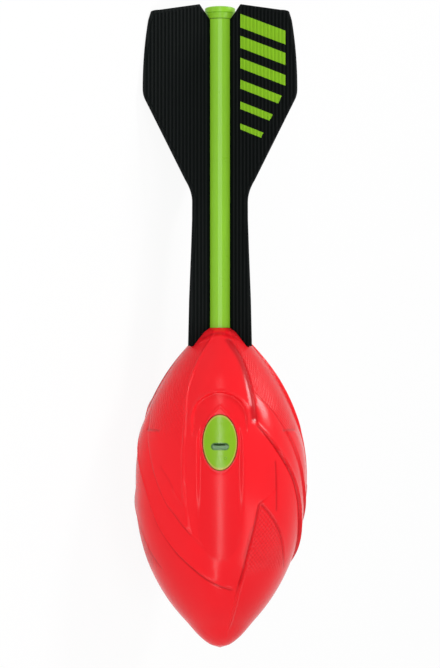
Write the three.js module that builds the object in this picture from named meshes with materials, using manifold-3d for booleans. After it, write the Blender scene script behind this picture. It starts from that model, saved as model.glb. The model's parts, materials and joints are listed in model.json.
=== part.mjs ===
// A vortex throwing toy: a swirled foam head with three whistles, on a railed shaft with three ribbed fins.
import * as THREE from "three";
import { mergeVertices } from "three/addons/utils/BufferGeometryUtils.js";
import Module from "manifold-3d";

const wasm = await Module();
wasm.setup();

// Driving sizes in millimetres. The toy is built standing on its nose, tail up, and is laid down last.
const foam_length = 161.4; // nose tip to neck rim
const belly_radius = 42.6; // at the lowest level of the swirl relief
const neck_radius = 8.1;
const tail_length = 162.5; // neck rim to the tail ends of the fins
const fit_clearance = 0.3; // between any two pieces that fit together
const cut_overrun = 5; // how far a cut runs past what it opens

// Shape of the foam's profile: the widest place, and how blunt the nose and the shoulder are.
const belly_share = 0.527;
const nose_power = 2.3;
const nose_blunt_power = 0.83;
const shoulder_power = 2.1;

// Relief of the foam: heights above the lowest level.
const hood_height = 1.3;
const apron_height = 1.0;
const grip_height = 0.45;
const swirl_edge_height = 1.3;
const swirl_root_height = 0.5;
const swirl_upper_height = 0.3;
const petal_height = 1.0;
const faint_height = 0.14; // where one panel dies out over the next
const leaf_depth = 0.45; // of the textured leaf's tip, below its petal
const channel_floor_height = 0.2;
const relief_root_depth = 3; // how far each panel is rooted in the body below it
const panel_underlap = 2; // how far a lower panel runs on under the panel that covers it
const neck_fade_length = 26; // the panels flatten over this length below the neck rim
const neck_flat_share = 0.3; // of a panel's height, left at the neck rim

// Angles round the foam, in degrees from the middle of a whistle. The relief repeats in each third.
const sector_angle = 120;
const quarter_turn = 90;
const roll_angle = 30; // that the toy is turned about its axis as it lies
const swirl_start_angle = 29;
const swirl_end_angle = 137;
const grip_end_angle = 98;
const apron_start_angle = 55;
const apron_end_angle = 99;
const petal_sweep_angle = 42;
const slack_start_angle = 131; // the hood's right corner sinks from here
const slack_end_angle = 149;

// Shares of an arm's run over which it rises and settles.
const swirl_rise_share = 0.16;
const swirl_settle_share = 0.2;

// Places along the foam, as shares of its length from the nose.
const grip_edge_share = 0.686;
const hood_settle_shares = [0.42, 0.69];
const slack_shares = [0.72, 0.765];
const slack_depth_share = 0.85;
const petal_rise_shares = [0.02, 0.16];
const petal_drop_shares = [0.44, 0.5];
const petal_drop_share = 0.35; // of the petal's height, left above its drop
const petal_end_shares = [0.5, 0.62];

// Edges of the swirl: an angle, with a share of the foam's length.
const swirl_lower_shares = [
  [27, 0.714], [37.5, 0.662], [46, 0.612], [58, 0.536], [66, 0.468], [73, 0.402], [81, 0.35], [90, 0.304],
  [106, 0.246], [115, 0.225], [124, 0.211], [136, 0.2],
];
const swirl_upper_shares = [
  [29, 0.812], [41, 0.772], [49, 0.728], [57, 0.674], [66, 0.603], [74, 0.53], [82, 0.468], [89, 0.431],
  [96, 0.392], [108, 0.335], [137, 0.268],
];

// Side edges of the hood, the petal and the leaf: a share of the foam's length, with an angle.
const hood_left_shares = [
  [0.5, 95], [0.6, 94], [0.72, 92.5], [0.8, 89], [0.87, 88.5], [0.92, 91], [0.97, 98],
];
const hood_right_shares = [
  [0.7, 148], [0.76, 148.3], [0.87, 149.8], [0.9, 149.6], [0.925, 147.5], [0.97, 139],
];
const petal_left_shares = [
  [0.02, 14], [0.1, 15.2], [0.2, 16.8], [0.25, 19], [0.31, 20.6], [0.35, 22.2], [0.414, 25.1], [0.45, 26.5],
  [0.468, 28.4], [0.495, 37], [0.51, 40], [0.62, 40.5],
];
const leaf_right_shares = [
  [0.24, 60], [0.257, 56], [0.3, 50.5], [0.345, 45.5], [0.38, 41.7], [0.416, 35.8], [0.465, 29.5],
];

// The whistle channel: straight from its foot, with a wider round end towards the tail.
const channel_foot_share = 0.298;
const channel_half_width = 10.7;
const channel_width_shares = [
  [0, 0.06], [0.012, 0.27], [0.04, 0.5], [0.1, 0.78], [0.16, 0.92], [0.28, 1], [0.8, 1], [1, 1],
];
const arch_share = 0.722; // place of the round end's middle
const arch_radius = 13.1;
const arch_mouth_share = 0.66; // the channel widens from here
const arch_tip_half = 0.6;

// Whistles: an oval cup closed by a slotted oval cap.
const whistle_share = 0.654; // place along the foam
const whistle_half_width = 8.3;
const whistle_half_length = 13.7;
const whistle_dome_height = 1.1;
const whistle_proud = 0.3;
const whistle_cap_thickness = 1.8;
const whistle_cap_edge = 0.4;
const whistle_slot_width = 8.1;
const whistle_slot_height = 3.6;
const whistle_slot_shift = 2.2; // from the cap's middle towards the nose
const cup_depth = 14;
const cup_wall = 1.2;
const cup_foot_share = 0.86; // of the cup's half sizes, at its rounded foot
const cup_side_share = 0.96;
const slope_step = 0.3; // between the two places that give the foam's slope under a whistle

// Tail shaft, an extruded rod with a central bore and three keyhole rails.
const shaft_radius = 6.45;
const shaft_bore_radius = 1.5;
const shaft_sink = 70; // length held inside the foam
const rail_place_radius = 4; // from the shaft's axis to each rail's middle
const rail_bead_radius = 1.35;
const anchor_radius = 12;
const anchor_thickness = 2.4;
const stem_length = 14; // of the anchor and of the tail cap, in the shaft's bore

// Tail cap.
const flange_radius = 7.7;
const flange_height = 3.2;
const flange_face_radius = 5.2;
const flange_crown = 0.9; // how far the rounded edge drops below the flat end
const cone_height = 2.8;
const cap_inset = 0.8; // the cap's end lies this far short of the fins' ends

// Fins: a web with a plain rim and root, and ribs along both faces.
const fin_tip_radius = 43.9;
const fin_sink = 9.1; // the fins' feet lie this far inside the foam's neck
const fin_web_thickness = 1.6;
const rib_height = 0.45;
const rib_pitch = 2.06;
const rib_start_radius = 8.6;
const rib_foot_share = 0.36;
const rib_crest_share = 0.14;
const fin_rim = 1.5;
const fin_corner_inset = 4.5; // from the cap's flange to the fins' inner corner
const fin_angles = { fin_upper: 60, fin_front: -60, fin_rear: 180 };
const whistle_angles = { front: 0, rear: 120, under: -120 };

// Roundness.
const foam_segments = 54;
const foam_profile_steps = 20;
const oval_segments = 26;
const round_segments = 24;
const arc_steps = 5;
const leaf_columns = 3;
const leaf_rows = 4;
const channel_columns = 5;
const channel_rows = 16;

// Worked out from the sizes above.
const rim_z = foam_length;
const fin_foot_z = foam_length - fin_sink;
const fin_top_z = foam_length + tail_length;
const fin_length = fin_top_z - fin_foot_z;
const cap_end_z = fin_top_z - cap_inset;
const flange_z = cap_end_z - flange_height;
const cone_z = flange_z - cone_height;
const shaft_top_z = cone_z - fit_clearance;
const shaft_foot_z = foam_length - shaft_sink;
const anchor_top_z = shaft_foot_z - fit_clearance;
const rail_radius = rail_bead_radius + fit_clearance;
const rail_mouth_half = fin_web_thickness / 2 + fit_clearance;
const stem_radius = shaft_bore_radius - fit_clearance;
const fin_half_thickness = fin_web_thickness / 2 + rib_height;
const whistle_z = foam_length * whistle_share;

const radians = THREE.MathUtils.degToRad;
const mix = THREE.MathUtils.lerp;

// Solids

function solidOf(geometry) {
  const bare = geometry.clone();
  bare.deleteAttribute("normal");
  bare.deleteAttribute("uv");
  const merged = mergeVertices(bare);
  const corners = [];
  for (let i = 0; i < merged.index.count; i += 3) {
    const [a, b, c] = [merged.index.getX(i), merged.index.getX(i + 1), merged.index.getX(i + 2)];
    if (a !== b && b !== c && c !== a) corners.push(a, b, c);
  }
  const vertProperties = merged.attributes.position.array;
  return new wasm.Manifold(new wasm.Mesh({ numProp: 3, vertProperties, triVerts: new Uint32Array(corners) }));
}

function geometryOf(solid) {
  const { vertProperties, triVerts } = solid.getMesh();
  const indexed = new THREE.BufferGeometry();
  indexed.setAttribute("position", new THREE.BufferAttribute(vertProperties, 3));
  indexed.setIndex(new THREE.BufferAttribute(triVerts, 1));
  const geometry = indexed.toNonIndexed();
  geometry.computeVertexNormals();
  return geometry;
}

// A turned piece about Z from points of radius and height, listed from its foot up.
function turned(points, segments) {
  const profile = points.map(([radius, height]) => new THREE.Vector2(radius, height));
  return new THREE.LatheGeometry(profile, segments).rotateX(Math.PI / 2);
}

function cylinder(radius, foot, top, segments = round_segments) {
  return turned([[0, foot], [radius, foot], [radius, top], [0, top]], segments);
}

// A slab standing on the plane of radius (X) and height (Z), centred on its thickness.
function upright(shape, thickness) {
  const slab = new THREE.ExtrudeGeometry(shape, {
    depth: thickness, bevelEnabled: false, curveSegments: arc_steps,
  });
  return slab.translate(0, 0, -thickness / 2).rotateX(Math.PI / 2);
}

// A closed skin between an outer and an inner sheet, both given as places over a grid.
function lofted(columns, rows, outerPlace, innerPlace) {
  const positions = [];
  const corners = [];
  const sheetSize = (columns + 1) * (rows + 1);
  const index = (column, row) => row * (columns + 1) + column;
  for (const place of [outerPlace, innerPlace]) {
    for (let row = 0; row <= rows; row += 1) {
      for (let column = 0; column <= columns; column += 1) {
        positions.push(...place(column / columns, row / rows));
      }
    }
  }
  const quad = (a, b, c, d) => corners.push(a, b, c, a, c, d);
  for (let row = 0; row < rows; row += 1) {
    for (let column = 0; column < columns; column += 1) {
      const ring = [
        index(column, row), index(column + 1, row), index(column + 1, row + 1), index(column, row + 1),
      ];
      quad(...ring);
      quad(...ring.map((corner) => corner + sheetSize).reverse());
    }
  }
  const wall = (a, b) => quad(b, a, a + sheetSize, b + sheetSize);
  for (let column = 0; column < columns; column += 1) {
    wall(index(column, 0), index(column + 1, 0));
    wall(index(column + 1, rows), index(column, rows));
  }
  for (let row = 0; row < rows; row += 1) {
    wall(index(0, row + 1), index(0, row));
    wall(index(columns, row), index(columns, row + 1));
  }
  const geometry = new THREE.BufferGeometry();
  geometry.setAttribute("position", new THREE.Float32BufferAttribute(positions, 3));
  geometry.setIndex(corners);
  return geometry;
}

// Foam head

function foamRadius(z) {
  const share = z / foam_length;
  if (share < belly_share) {
    const nose = (belly_share - share) / belly_share;
    return belly_radius * (1 - nose ** nose_power) ** nose_blunt_power;
  }
  const shoulder = (share - belly_share) / (1 - belly_share);
  return neck_radius + (belly_radius - neck_radius) * (1 - shoulder ** shoulder_power);
}

// A smooth line through pairs of numbers, read at any first number.
function alongEdge(pairs, at) {
  const last = pairs.length - 2;
  let i = pairs.findIndex(([start]) => start > at) - 1;
  if (i < 0) i = at < pairs[0][0] ? 0 : last;
  const slope = (j) => {
    const [before, after] = [pairs[Math.max(j - 1, 0)], pairs[Math.min(j + 1, last + 1)]];
    return (after[1] - before[1]) / (after[0] - before[0]);
  };
  const [[x0, y0], [x1, y1]] = [pairs[i], pairs[i + 1]];
  const step = x1 - x0;
  const t = Math.min(Math.max((at - x0) / step, 0), 1);
  const bend = t * t * (3 - 2 * t);
  const lead = t * (1 - t) * (1 - t) * slope(i) * step;
  const trail = t * t * (1 - t) * slope(i + 1) * step;
  return y0 + (y1 - y0) * bend + lead - trail;
}

function smoothRise(at, from, to) {
  return THREE.MathUtils.smoothstep(at, from, to);
}

function neckFade(z) {
  return mix(neck_flat_share, 1, smoothRise(rim_z - z, 0, neck_fade_length));
}

function foamPlace(angle, z, height) {
  const radius = foamRadius(z) + height;
  return [radius * Math.sin(radians(angle)), -radius * Math.cos(radians(angle)), z];
}

// A raised panel, rooted in the foam, from a rule that gives angle, place along the foam and height.
function foamPanel(columns, rows, rule) {
  const outer = (u, v) => {
    const [angle, z, height] = rule(u, v);
    return foamPlace(angle, z, height * neckFade(z));
  };
  const inner = (u, v) => {
    const [angle, z] = rule(u, v);
    return foamPlace(angle, z, -relief_root_depth);
  };
  return lofted(columns, rows, outer, inner);
}

const swirlLowerZ = (angle) => foam_length * alongEdge(swirl_lower_shares, angle);
const swirlUpperZ = (angle) => foam_length * alongEdge(swirl_upper_shares, angle);
const grip_edge_z = foam_length * grip_edge_share;

// The arm that comes out from under one hood and sweeps round to the next petal.
function swirlArm() {
  return foamPanel(16, 2, (u, v) => {
    const angle = mix(swirl_start_angle, swirl_end_angle, u);
    const lower = swirlLowerZ(angle);
    const upper = swirlUpperZ(angle) + panel_underlap;
    const rise = Math.min(smoothRise(u, 0, swirl_rise_share), smoothRise(1 - u, 0, swirl_settle_share));
    const edge = mix(swirl_root_height, swirl_edge_height, rise);
    return [angle, mix(lower, upper, v), mix(edge, swirl_upper_height, v)];
  });
}

// The textured panel behind each fin, a little lower than the hoods on both sides.
function gripPanel() {
  return foamPanel(7, 4, (u, v) => {
    const angle = mix(swirl_start_angle, grip_end_angle, u);
    const lower = Math.max(swirlUpperZ(angle), grip_edge_z - panel_underlap);
    return [angle, mix(lower, rim_z, v), grip_height];
  });
}

// The plain field below the grip panel's edge.
function apron() {
  return foamPanel(5, 4, (u, v) => {
    const angle = mix(apron_start_angle, apron_end_angle, u);
    return [angle, mix(swirlUpperZ(angle), grip_edge_z, v), apron_height];
  });
}

// The long panel that carries a whistle. Towards the nose it settles, and its right corner sinks.
function hood() {
  return foamPanel(8, 9, (u, v) => {
    const foot_angle = mix(hood_left_shares[0][1], hood_right_shares[0][1], u);
    const share = mix(alongEdge(swirl_upper_shares, foot_angle), 1, v);
    const angle = mix(alongEdge(hood_left_shares, share), alongEdge(hood_right_shares, share), u);
    const settled = mix(faint_height, hood_height, smoothRise(share, ...hood_settle_shares));
    const corner = smoothRise(angle, slack_start_angle, slack_end_angle);
    const slack = corner * (1 - smoothRise(share, ...slack_shares));
    return [angle, foam_length * share, settled * (1 - slack_depth_share * slack)];
  });
}

// Height of the nose petal at a share of its sweep, raised along its left side and dying out to the right.
function petalHeight(share, across) {
  const drop = mix(1, petal_drop_share, smoothRise(share, ...petal_drop_shares));
  const end = 1 - smoothRise(share, ...petal_end_shares);
  return mix(petal_height, faint_height, across) * smoothRise(share, ...petal_rise_shares) * drop * end;
}

function petal() {
  return foamPanel(4, 10, (u, v) => {
    const share = mix(petal_left_shares[0][0], petal_left_shares.at(-1)[0], v);
    const angle = alongEdge(petal_left_shares, share) + petal_sweep_angle * u;
    return [angle, foam_length * share, petalHeight(share, u)];
  });
}

// The cut that lets each textured leaf into its petal, deepest at the leaf's tip.
function leafCut() {
  const rule = (u, v) => {
    const share = mix(leaf_right_shares[0][0], leaf_right_shares.at(-1)[0], v);
    const sweep = alongEdge(leaf_right_shares, share) - alongEdge(petal_left_shares, share);
    const angle = alongEdge(petal_left_shares, share) + sweep * u;
    const height = petalHeight(share, (sweep * u) / petal_sweep_angle) - leaf_depth * v;
    return [angle, foam_length * share, height];
  };
  const outer = (u, v) => {
    const [angle, z] = rule(u, v);
    return foamPlace(angle, z, cut_overrun);
  };
  const inner = (u, v) => foamPlace(...rule(u, v));
  return lofted(leaf_columns, leaf_rows, outer, inner);
}

// Half width of the whistle channel at a share of the foam's length.
function channelHalf(share) {
  if (share > arch_share) {
    const ahead = foam_length * (share - arch_share);
    return Math.max(Math.sqrt(Math.max(arch_radius ** 2 - ahead ** 2, 0)), arch_tip_half);
  }
  const along = (share - channel_foot_share) / (arch_share - channel_foot_share);
  const straight = channel_half_width * alongEdge(channel_width_shares, along);
  return mix(straight, arch_radius, smoothRise(share, arch_mouth_share, arch_share));
}

// The cut that sinks each whistle's channel, with its rows closest together at both round ends.
function channelCut() {
  const top_share = arch_share + arch_radius / foam_length;
  const rule = (u, v) => {
    const share = mix(channel_foot_share, top_share, (1 - Math.cos(Math.PI * v)) / 2);
    const z = foam_length * share;
    return [THREE.MathUtils.radToDeg(Math.asin(channelHalf(share) / foamRadius(z))) * mix(-1, 1, u), z];
  };
  const outer = (u, v) => foamPlace(...rule(u, v), cut_overrun);
  const inner = (u, v) => foamPlace(...rule(u, v), channel_floor_height);
  return lofted(channel_columns, channel_rows, outer, inner);
}

function turnedAbout(geometry, angle) {
  return geometry.clone().rotateZ(radians(angle));
}

function foamBody() {
  const profile = [];
  for (let i = 0; i <= foam_profile_steps; i += 1) {
    const along = i / foam_profile_steps;
    const z = foam_length * (1 - Math.cos(Math.PI * along)) / 2;
    profile.push([foamRadius(z), z]);
  }
  profile.push([0, rim_z]);
  let body = solidOf(turned(profile, foam_segments));
  for (const angle of Object.values(whistle_angles)) {
    body = body.add(solidOf(turnedAbout(petal(), angle))).subtract(solidOf(turnedAbout(leafCut(), angle)));
  }
  for (const panel of [swirlArm(), gripPanel(), apron(), hood()]) {
    for (const angle of Object.values(whistle_angles)) body = body.add(solidOf(turnedAbout(panel, angle)));
  }
  for (const angle of Object.values(whistle_angles)) {
    body = body.subtract(solidOf(turnedAbout(channelCut(), angle)));
    body = body.subtract(solidOf(turnedAbout(inWhistleFrame(pocketCut()), angle)));
  }
  for (const angle of Object.values(fin_angles)) {
    body = body.subtract(solidOf(turnedAbout(finSlotCut(), angle)));
  }
  const bore = cylinder(shaft_radius + fit_clearance, shaft_foot_z, rim_z + cut_overrun, foam_segments);
  const hollow_radius = anchor_radius + fit_clearance;
  const hollow_foot = anchor_top_z - anchor_thickness - fit_clearance;
  const hollow = cylinder(hollow_radius, hollow_foot, shaft_foot_z + fit_clearance);
  return body.subtract(solidOf(bore)).subtract(solidOf(hollow));
}

// Whistles, modelled with the opening up (Z) and the tail towards Y

const whistle_slope = (foamRadius(whistle_z + slope_step) - foamRadius(whistle_z)) / slope_step;
const whistle_tilt = Math.atan(-whistle_slope);
const whistle_rim_radius = foamRadius(whistle_z) + channel_floor_height + whistle_proud - whistle_dome_height;

// The whistle's place on the foam's front, at angle zero.
function whistleFrame() {
  const frame = new THREE.Group();
  frame.position.set(0, -whistle_rim_radius, whistle_z);
  frame.rotation.x = Math.PI / 2 - whistle_tilt;
  frame.updateMatrix();
  return frame;
}

function inWhistleFrame(geometry) {
  return geometry.applyMatrix4(whistleFrame().matrix);
}

function oval(points, halfWidth, halfLength) {
  return turned(points, oval_segments).scale(halfWidth, halfLength, 1);
}

function pocketCut() {
  const foot = -(whistle_cap_thickness + cup_depth + fit_clearance * 2);
  const top = whistle_dome_height + cut_overrun;
  const points = [[0, foot], [1, foot], [1, top], [0, top]];
  return oval(points, whistle_half_width + fit_clearance, whistle_half_length + fit_clearance);
}

function whistleCap() {
  const foot = -whistle_cap_thickness;
  const edge_share = whistle_cap_edge / whistle_half_width;
  const points = [[0, foot], [1, foot], [1, -whistle_cap_edge]];
  const dome_steps = 3;
  for (let i = dome_steps; i >= 0; i -= 1) {
    const share = (1 - edge_share) * (i / dome_steps);
    points.push([share, whistle_dome_height * (1 - share * share)]);
  }
  const cap = solidOf(oval(points, whistle_half_width, whistle_half_length));
  const end_radius = whistle_slot_height / 2;
  const end_x = whistle_slot_width / 2 - end_radius;
  const slot = new THREE.Shape();
  slot.absarc(end_x, -whistle_slot_shift, end_radius, -Math.PI / 2, Math.PI / 2);
  slot.absarc(-end_x, -whistle_slot_shift, end_radius, Math.PI / 2, Math.PI * 1.5);
  const depth = whistle_cap_thickness + whistle_dome_height + cut_overrun * 2;
  const cut = new THREE.ExtrudeGeometry(slot, { depth, bevelEnabled: false, curveSegments: arc_steps });
  return cap.subtract(solidOf(cut.translate(0, 0, foot - cut_overrun)));
}

function whistleCup() {
  const top = -(whistle_cap_thickness + fit_clearance);
  const foot = top - cup_depth;
  const side_foot = foot + cup_wall * 3;
  const points = [
    [0, foot], [cup_foot_share, foot], [cup_side_share, foot + cup_wall], [1, side_foot], [1, top], [0, top],
  ];
  const outside = oval(points, whistle_half_width, whistle_half_length);
  const inner_top = top + cut_overrun;
  const inner_foot = foot + cup_wall;
  const hollow = [
    [0, inner_foot], [cup_foot_share, inner_foot], [cup_side_share, inner_foot + cup_wall],
    [1, side_foot + cup_wall], [1, inner_top], [0, inner_top],
  ];
  const inside = oval(hollow, whistle_half_width - cup_wall, whistle_half_length - cup_wall);
  return solidOf(outside).subtract(solidOf(inside));
}

// Tail

// The rod's section: arcs between the rails' mouths, and a keyhole round each fin's bead.
function tailShaft() {
  const section = new THREE.Shape();
  const mouth_angle = Math.asin(rail_mouth_half / shaft_radius);
  const keyhole_angle = Math.asin(rail_mouth_half / rail_radius);
  for (let rail = 0; rail < 3; rail += 1) {
    const towards = radians(sector_angle * rail);
    const x = rail_place_radius * Math.cos(towards);
    const y = rail_place_radius * Math.sin(towards);
    const arc_end = towards + radians(sector_angle) - mouth_angle;
    section.absarc(x, y, rail_radius, towards - keyhole_angle, towards + keyhole_angle, true);
    section.absarc(0, 0, shaft_radius, towards + mouth_angle, arc_end, false);
  }
  const bore = new THREE.Path();
  bore.absarc(0, 0, shaft_bore_radius, 0, Math.PI * 2, true);
  section.holes.push(bore);
  const rod = new THREE.ExtrudeGeometry(section, {
    depth: shaft_top_z - shaft_foot_z, bevelEnabled: false, curveSegments: arc_steps,
  });
  return rod.translate(0, 0, shaft_foot_z).rotateZ(radians(fin_angles.fin_upper - quarter_turn));
}

function shaftAnchor() {
  const foot = anchor_top_z - anchor_thickness;
  const stem_top = anchor_top_z + stem_length;
  const points = [
    [0, foot], [anchor_radius, foot], [anchor_radius, anchor_top_z], [stem_radius, anchor_top_z],
    [stem_radius, stem_top], [0, stem_top],
  ];
  return turned(points, round_segments);
}

function tailCap() {
  const stem_foot = cone_z - stem_length;
  const edge_z = cap_end_z - flange_crown;
  const points = [
    [0, stem_foot], [stem_radius, stem_foot], [stem_radius, cone_z], [shaft_radius, cone_z],
    [flange_radius, flange_z], [flange_radius, edge_z],
  ];
  const crown_steps = 3;
  for (let i = 1; i <= crown_steps; i += 1) {
    const turn = (Math.PI / 2) * (i / crown_steps);
    const radius = mix(flange_face_radius, flange_radius, Math.cos(turn));
    points.push([radius, mix(edge_z, cap_end_z, Math.sin(turn))]);
  }
  points.push([0, cap_end_z]);
  return turned(points, oval_segments);
}

// Fins, drawn in radius and height

// Outline of a fin. The inset draws the same outline smaller, for the ribbed field inside the plain rim.
function finOutline(inset) {
  const at = (radius_share, height_share) => [
    fin_tip_radius * radius_share - inset, fin_foot_z + fin_length * height_share,
  ];
  const foot_z = fin_foot_z + inset;
  const top_inner_radius = flange_radius + fin_corner_inset;
  const root_radius = inset > 0 ? rib_start_radius - rib_pitch / 2 : rail_place_radius;
  const outline = new THREE.Shape();
  outline.moveTo(root_radius, foot_z);
  outline.lineTo(at(0.413, 0)[0], foot_z);
  outline.lineTo(...at(0.4, 0.134));
  outline.lineTo(...at(0.374, 0.283));
  outline.lineTo(...at(0.361, 0.37));
  outline.lineTo(...at(0.36, 0.422));
  outline.quadraticCurveTo(...at(0.363, 0.453), ...at(0.451, 0.484));
  outline.lineTo(...at(0.972, 0.713));
  outline.quadraticCurveTo(...at(0.999, 0.726), ...at(1, 0.742));
  outline.quadraticCurveTo(...at(1, 0.845), ...at(0.929, 0.942));
  outline.lineTo(at(0.897, 0)[0], at(0, 0.966)[1] - inset);
  outline.quadraticCurveTo(
    at(0.889, 0)[0], at(0, 0.972)[1] - inset, at(0.804, 0)[0], at(0, 0.9735)[1] - inset,
  );
  outline.lineTo(top_inner_radius + inset / 2, fin_top_z - inset);
  if (inset > 0) {
    outline.lineTo(root_radius, shaft_top_z - inset);
  } else {
    outline.lineTo(shaft_radius, shaft_top_z);
    outline.lineTo(rail_place_radius, shaft_top_z);
  }
  return outline;
}

// All the ribs of both faces as one comb section, drawn in radius and thickness.
function ribComb() {
  const count = Math.floor((fin_tip_radius - fin_rim - rib_start_radius) / rib_pitch);
  const root = fin_web_thickness / 4;
  const upper = [];
  for (let i = 0; i <= count; i += 1) {
    const middle = rib_start_radius + rib_pitch * i;
    const foot = rib_pitch * rib_foot_share;
    const crest = rib_pitch * rib_crest_share;
    upper.push([middle - foot, root], [middle - crest, fin_half_thickness]);
    upper.push([middle + crest, fin_half_thickness], [middle + foot, root]);
  }
  const lower = upper.map(([radius, height]) => [radius, -height]).reverse();
  const comb = new THREE.Shape([...lower, ...upper].map(([x, y]) => new THREE.Vector2(x, y)));
  const ribs = new THREE.ExtrudeGeometry(comb, { depth: fin_length, bevelEnabled: false });
  return ribs.translate(0, 0, fin_foot_z);
}

function fin() {
  const web = solidOf(upright(finOutline(0), fin_web_thickness));
  const field = solidOf(upright(finOutline(fin_rim), fin_half_thickness * 3));
  const ribs = solidOf(ribComb()).intersect(field);
  const bead = cylinder(rail_bead_radius, fin_foot_z, shaft_top_z, round_segments / 2);
  return web.add(ribs).add(solidOf(bead.translate(rail_place_radius, 0, 0)));
}

// The slot in the foam's neck that takes a fin's foot.
function finSlotCut() {
  const reach = fin_tip_radius / 2;
  const foot = fin_foot_z - fit_clearance;
  const height = rim_z - foot + cut_overrun;
  const slot = new THREE.BoxGeometry(reach, (fin_half_thickness + fit_clearance) * 2, height);
  return slot.translate(reach / 2, 0, foot + height / 2).rotateZ(-Math.PI / 2);
}

// Assembly

const foam_red = new THREE.MeshStandardMaterial({ color: 0xf22b35, roughness: 0.55, metalness: 0 });
const shell_green = new THREE.MeshStandardMaterial({ color: 0x86c436, roughness: 0.35, metalness: 0 });
const fin_black = new THREE.MeshStandardMaterial({ color: 0x181b1b, roughness: 0.6, metalness: 0 });

const standing = new THREE.Group();

function addPiece(name, geometry, material, parent = standing) {
  const piece = new THREE.Mesh(geometry, material);
  piece.name = name;
  parent.add(piece);
  return piece;
}

function turnedGroup(angle) {
  const group = new THREE.Group();
  group.rotation.z = radians(angle);
  standing.add(group);
  return group;
}

addPiece("foam_body", geometryOf(foamBody()), foam_red);
addPiece("tail_shaft", tailShaft(), shell_green);
addPiece("shaft_anchor", shaftAnchor(), shell_green);
addPiece("tail_cap", tailCap(), shell_green);
for (const [name, angle] of Object.entries(fin_angles)) {
  addPiece(name, geometryOf(fin()), fin_black, turnedGroup(angle - quarter_turn));
}
for (const [side, angle] of Object.entries(whistle_angles)) {
  const seat = turnedGroup(angle);
  const frame = whistleFrame();
  seat.add(frame);
  addPiece(`whistle_cap_${side}`, geometryOf(whistleCap()), shell_green, frame);
  addPiece(`whistle_cup_${side}`, geometryOf(whistleCup()), shell_green, frame);
}

// Laid down: the toy rests on its belly and two fin tips, with the third fin up and the nose towards X.

// The lean of the axis that lets the belly and the fins touch one floor.
function restingLean() {
  standing.updateMatrixWorld(true);
  const under = radians(whistle_angles.under);
  const corner = new THREE.Vector3();
  const head = [];
  const tail = [];
  standing.traverse((piece) => {
    if (!piece.isMesh) return;
    const places = piece.geometry.attributes.position;
    for (let i = 0; i < places.count; i += 1) {
      corner.fromBufferAttribute(places, i).applyMatrix4(piece.matrixWorld);
      const drop = corner.x * Math.sin(under) - corner.y * Math.cos(under);
      (corner.z < rim_z ? head : tail).push([drop, corner.z]);
    }
  });
  const slopes = tail.map(([drop, z]) => head.reduce(
    (most, [head_drop, head_z]) => Math.max(most, (head_drop - drop) / (z - head_z)), 0));
  return Math.atan(slopes.reduce((least, slope) => Math.min(least, slope)));
}

const lying = new THREE.Group();
lying.rotation.y = -(Math.PI / 2 + restingLean());
standing.rotation.z = radians(roll_angle);
lying.add(standing);

const toy = new THREE.Group();
toy.add(lying);
toy.updateMatrixWorld(true);
const box = new THREE.Box3().setFromObject(toy, true);
const middle = box.getCenter(new THREE.Vector3());
lying.position.set(-middle.x, -middle.y, -box.min.z);
toy.updateMatrixWorld(true);

export default toy;
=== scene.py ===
"""A vortex throwing toy: swirled foam head, three slotted whistles, railed shaft and ribbed fins.

Laid out as an add-on. Each operator models one piece or group of pieces in the toy's own axes, with the
nose tip at the origin, the tail towards Z and the front whistle towards -Y, and lays it in the frame.
"""
import json
import math
from collections import namedtuple
from types import SimpleNamespace

import bpy
import numpy as np
from mathutils import Matrix, Vector


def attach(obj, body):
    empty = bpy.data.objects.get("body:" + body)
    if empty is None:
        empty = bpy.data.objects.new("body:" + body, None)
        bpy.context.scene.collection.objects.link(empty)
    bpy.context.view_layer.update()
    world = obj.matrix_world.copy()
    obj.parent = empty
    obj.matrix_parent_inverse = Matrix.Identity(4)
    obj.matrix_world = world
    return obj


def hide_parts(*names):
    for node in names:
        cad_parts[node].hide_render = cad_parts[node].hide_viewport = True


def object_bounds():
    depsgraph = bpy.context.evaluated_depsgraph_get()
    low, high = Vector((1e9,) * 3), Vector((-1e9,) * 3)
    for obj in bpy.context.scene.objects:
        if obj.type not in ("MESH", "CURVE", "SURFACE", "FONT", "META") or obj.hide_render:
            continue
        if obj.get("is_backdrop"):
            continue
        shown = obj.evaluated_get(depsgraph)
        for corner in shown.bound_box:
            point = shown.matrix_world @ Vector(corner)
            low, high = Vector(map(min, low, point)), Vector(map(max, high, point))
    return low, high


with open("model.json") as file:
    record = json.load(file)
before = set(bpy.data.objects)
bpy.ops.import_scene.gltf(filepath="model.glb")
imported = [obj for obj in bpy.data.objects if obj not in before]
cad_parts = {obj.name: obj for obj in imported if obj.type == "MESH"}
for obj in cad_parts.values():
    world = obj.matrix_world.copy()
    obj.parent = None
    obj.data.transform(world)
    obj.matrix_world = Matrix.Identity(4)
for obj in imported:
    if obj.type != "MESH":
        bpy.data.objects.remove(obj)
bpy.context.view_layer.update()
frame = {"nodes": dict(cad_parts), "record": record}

bl_info = {
    "name": "Vortex Throwing Toy",
    "version": (1, 0, 0),
    "blender": (4, 5, 0),
    "location": "3D View > Sidebar > Vortex Toy",
    "description": "Models a whistling foam throwing toy and its studio",
    "category": "Add Mesh",
}

BODY = "root"
MILLIMETRES = 1000
TINY = 0.000001  # metres, within which two corners are one
THINNEST_SHARE = 0.001  # of the head's length, for an arm's width where its edges meet
SECTORS = 3
SECTOR = 360 / SECTORS  # degrees
QUARTER = 90  # degrees
QUARTER_TURN = math.pi / 2  # radians
ROLL = 30  # degrees that the toy is rolled about its axis as it lies

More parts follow.
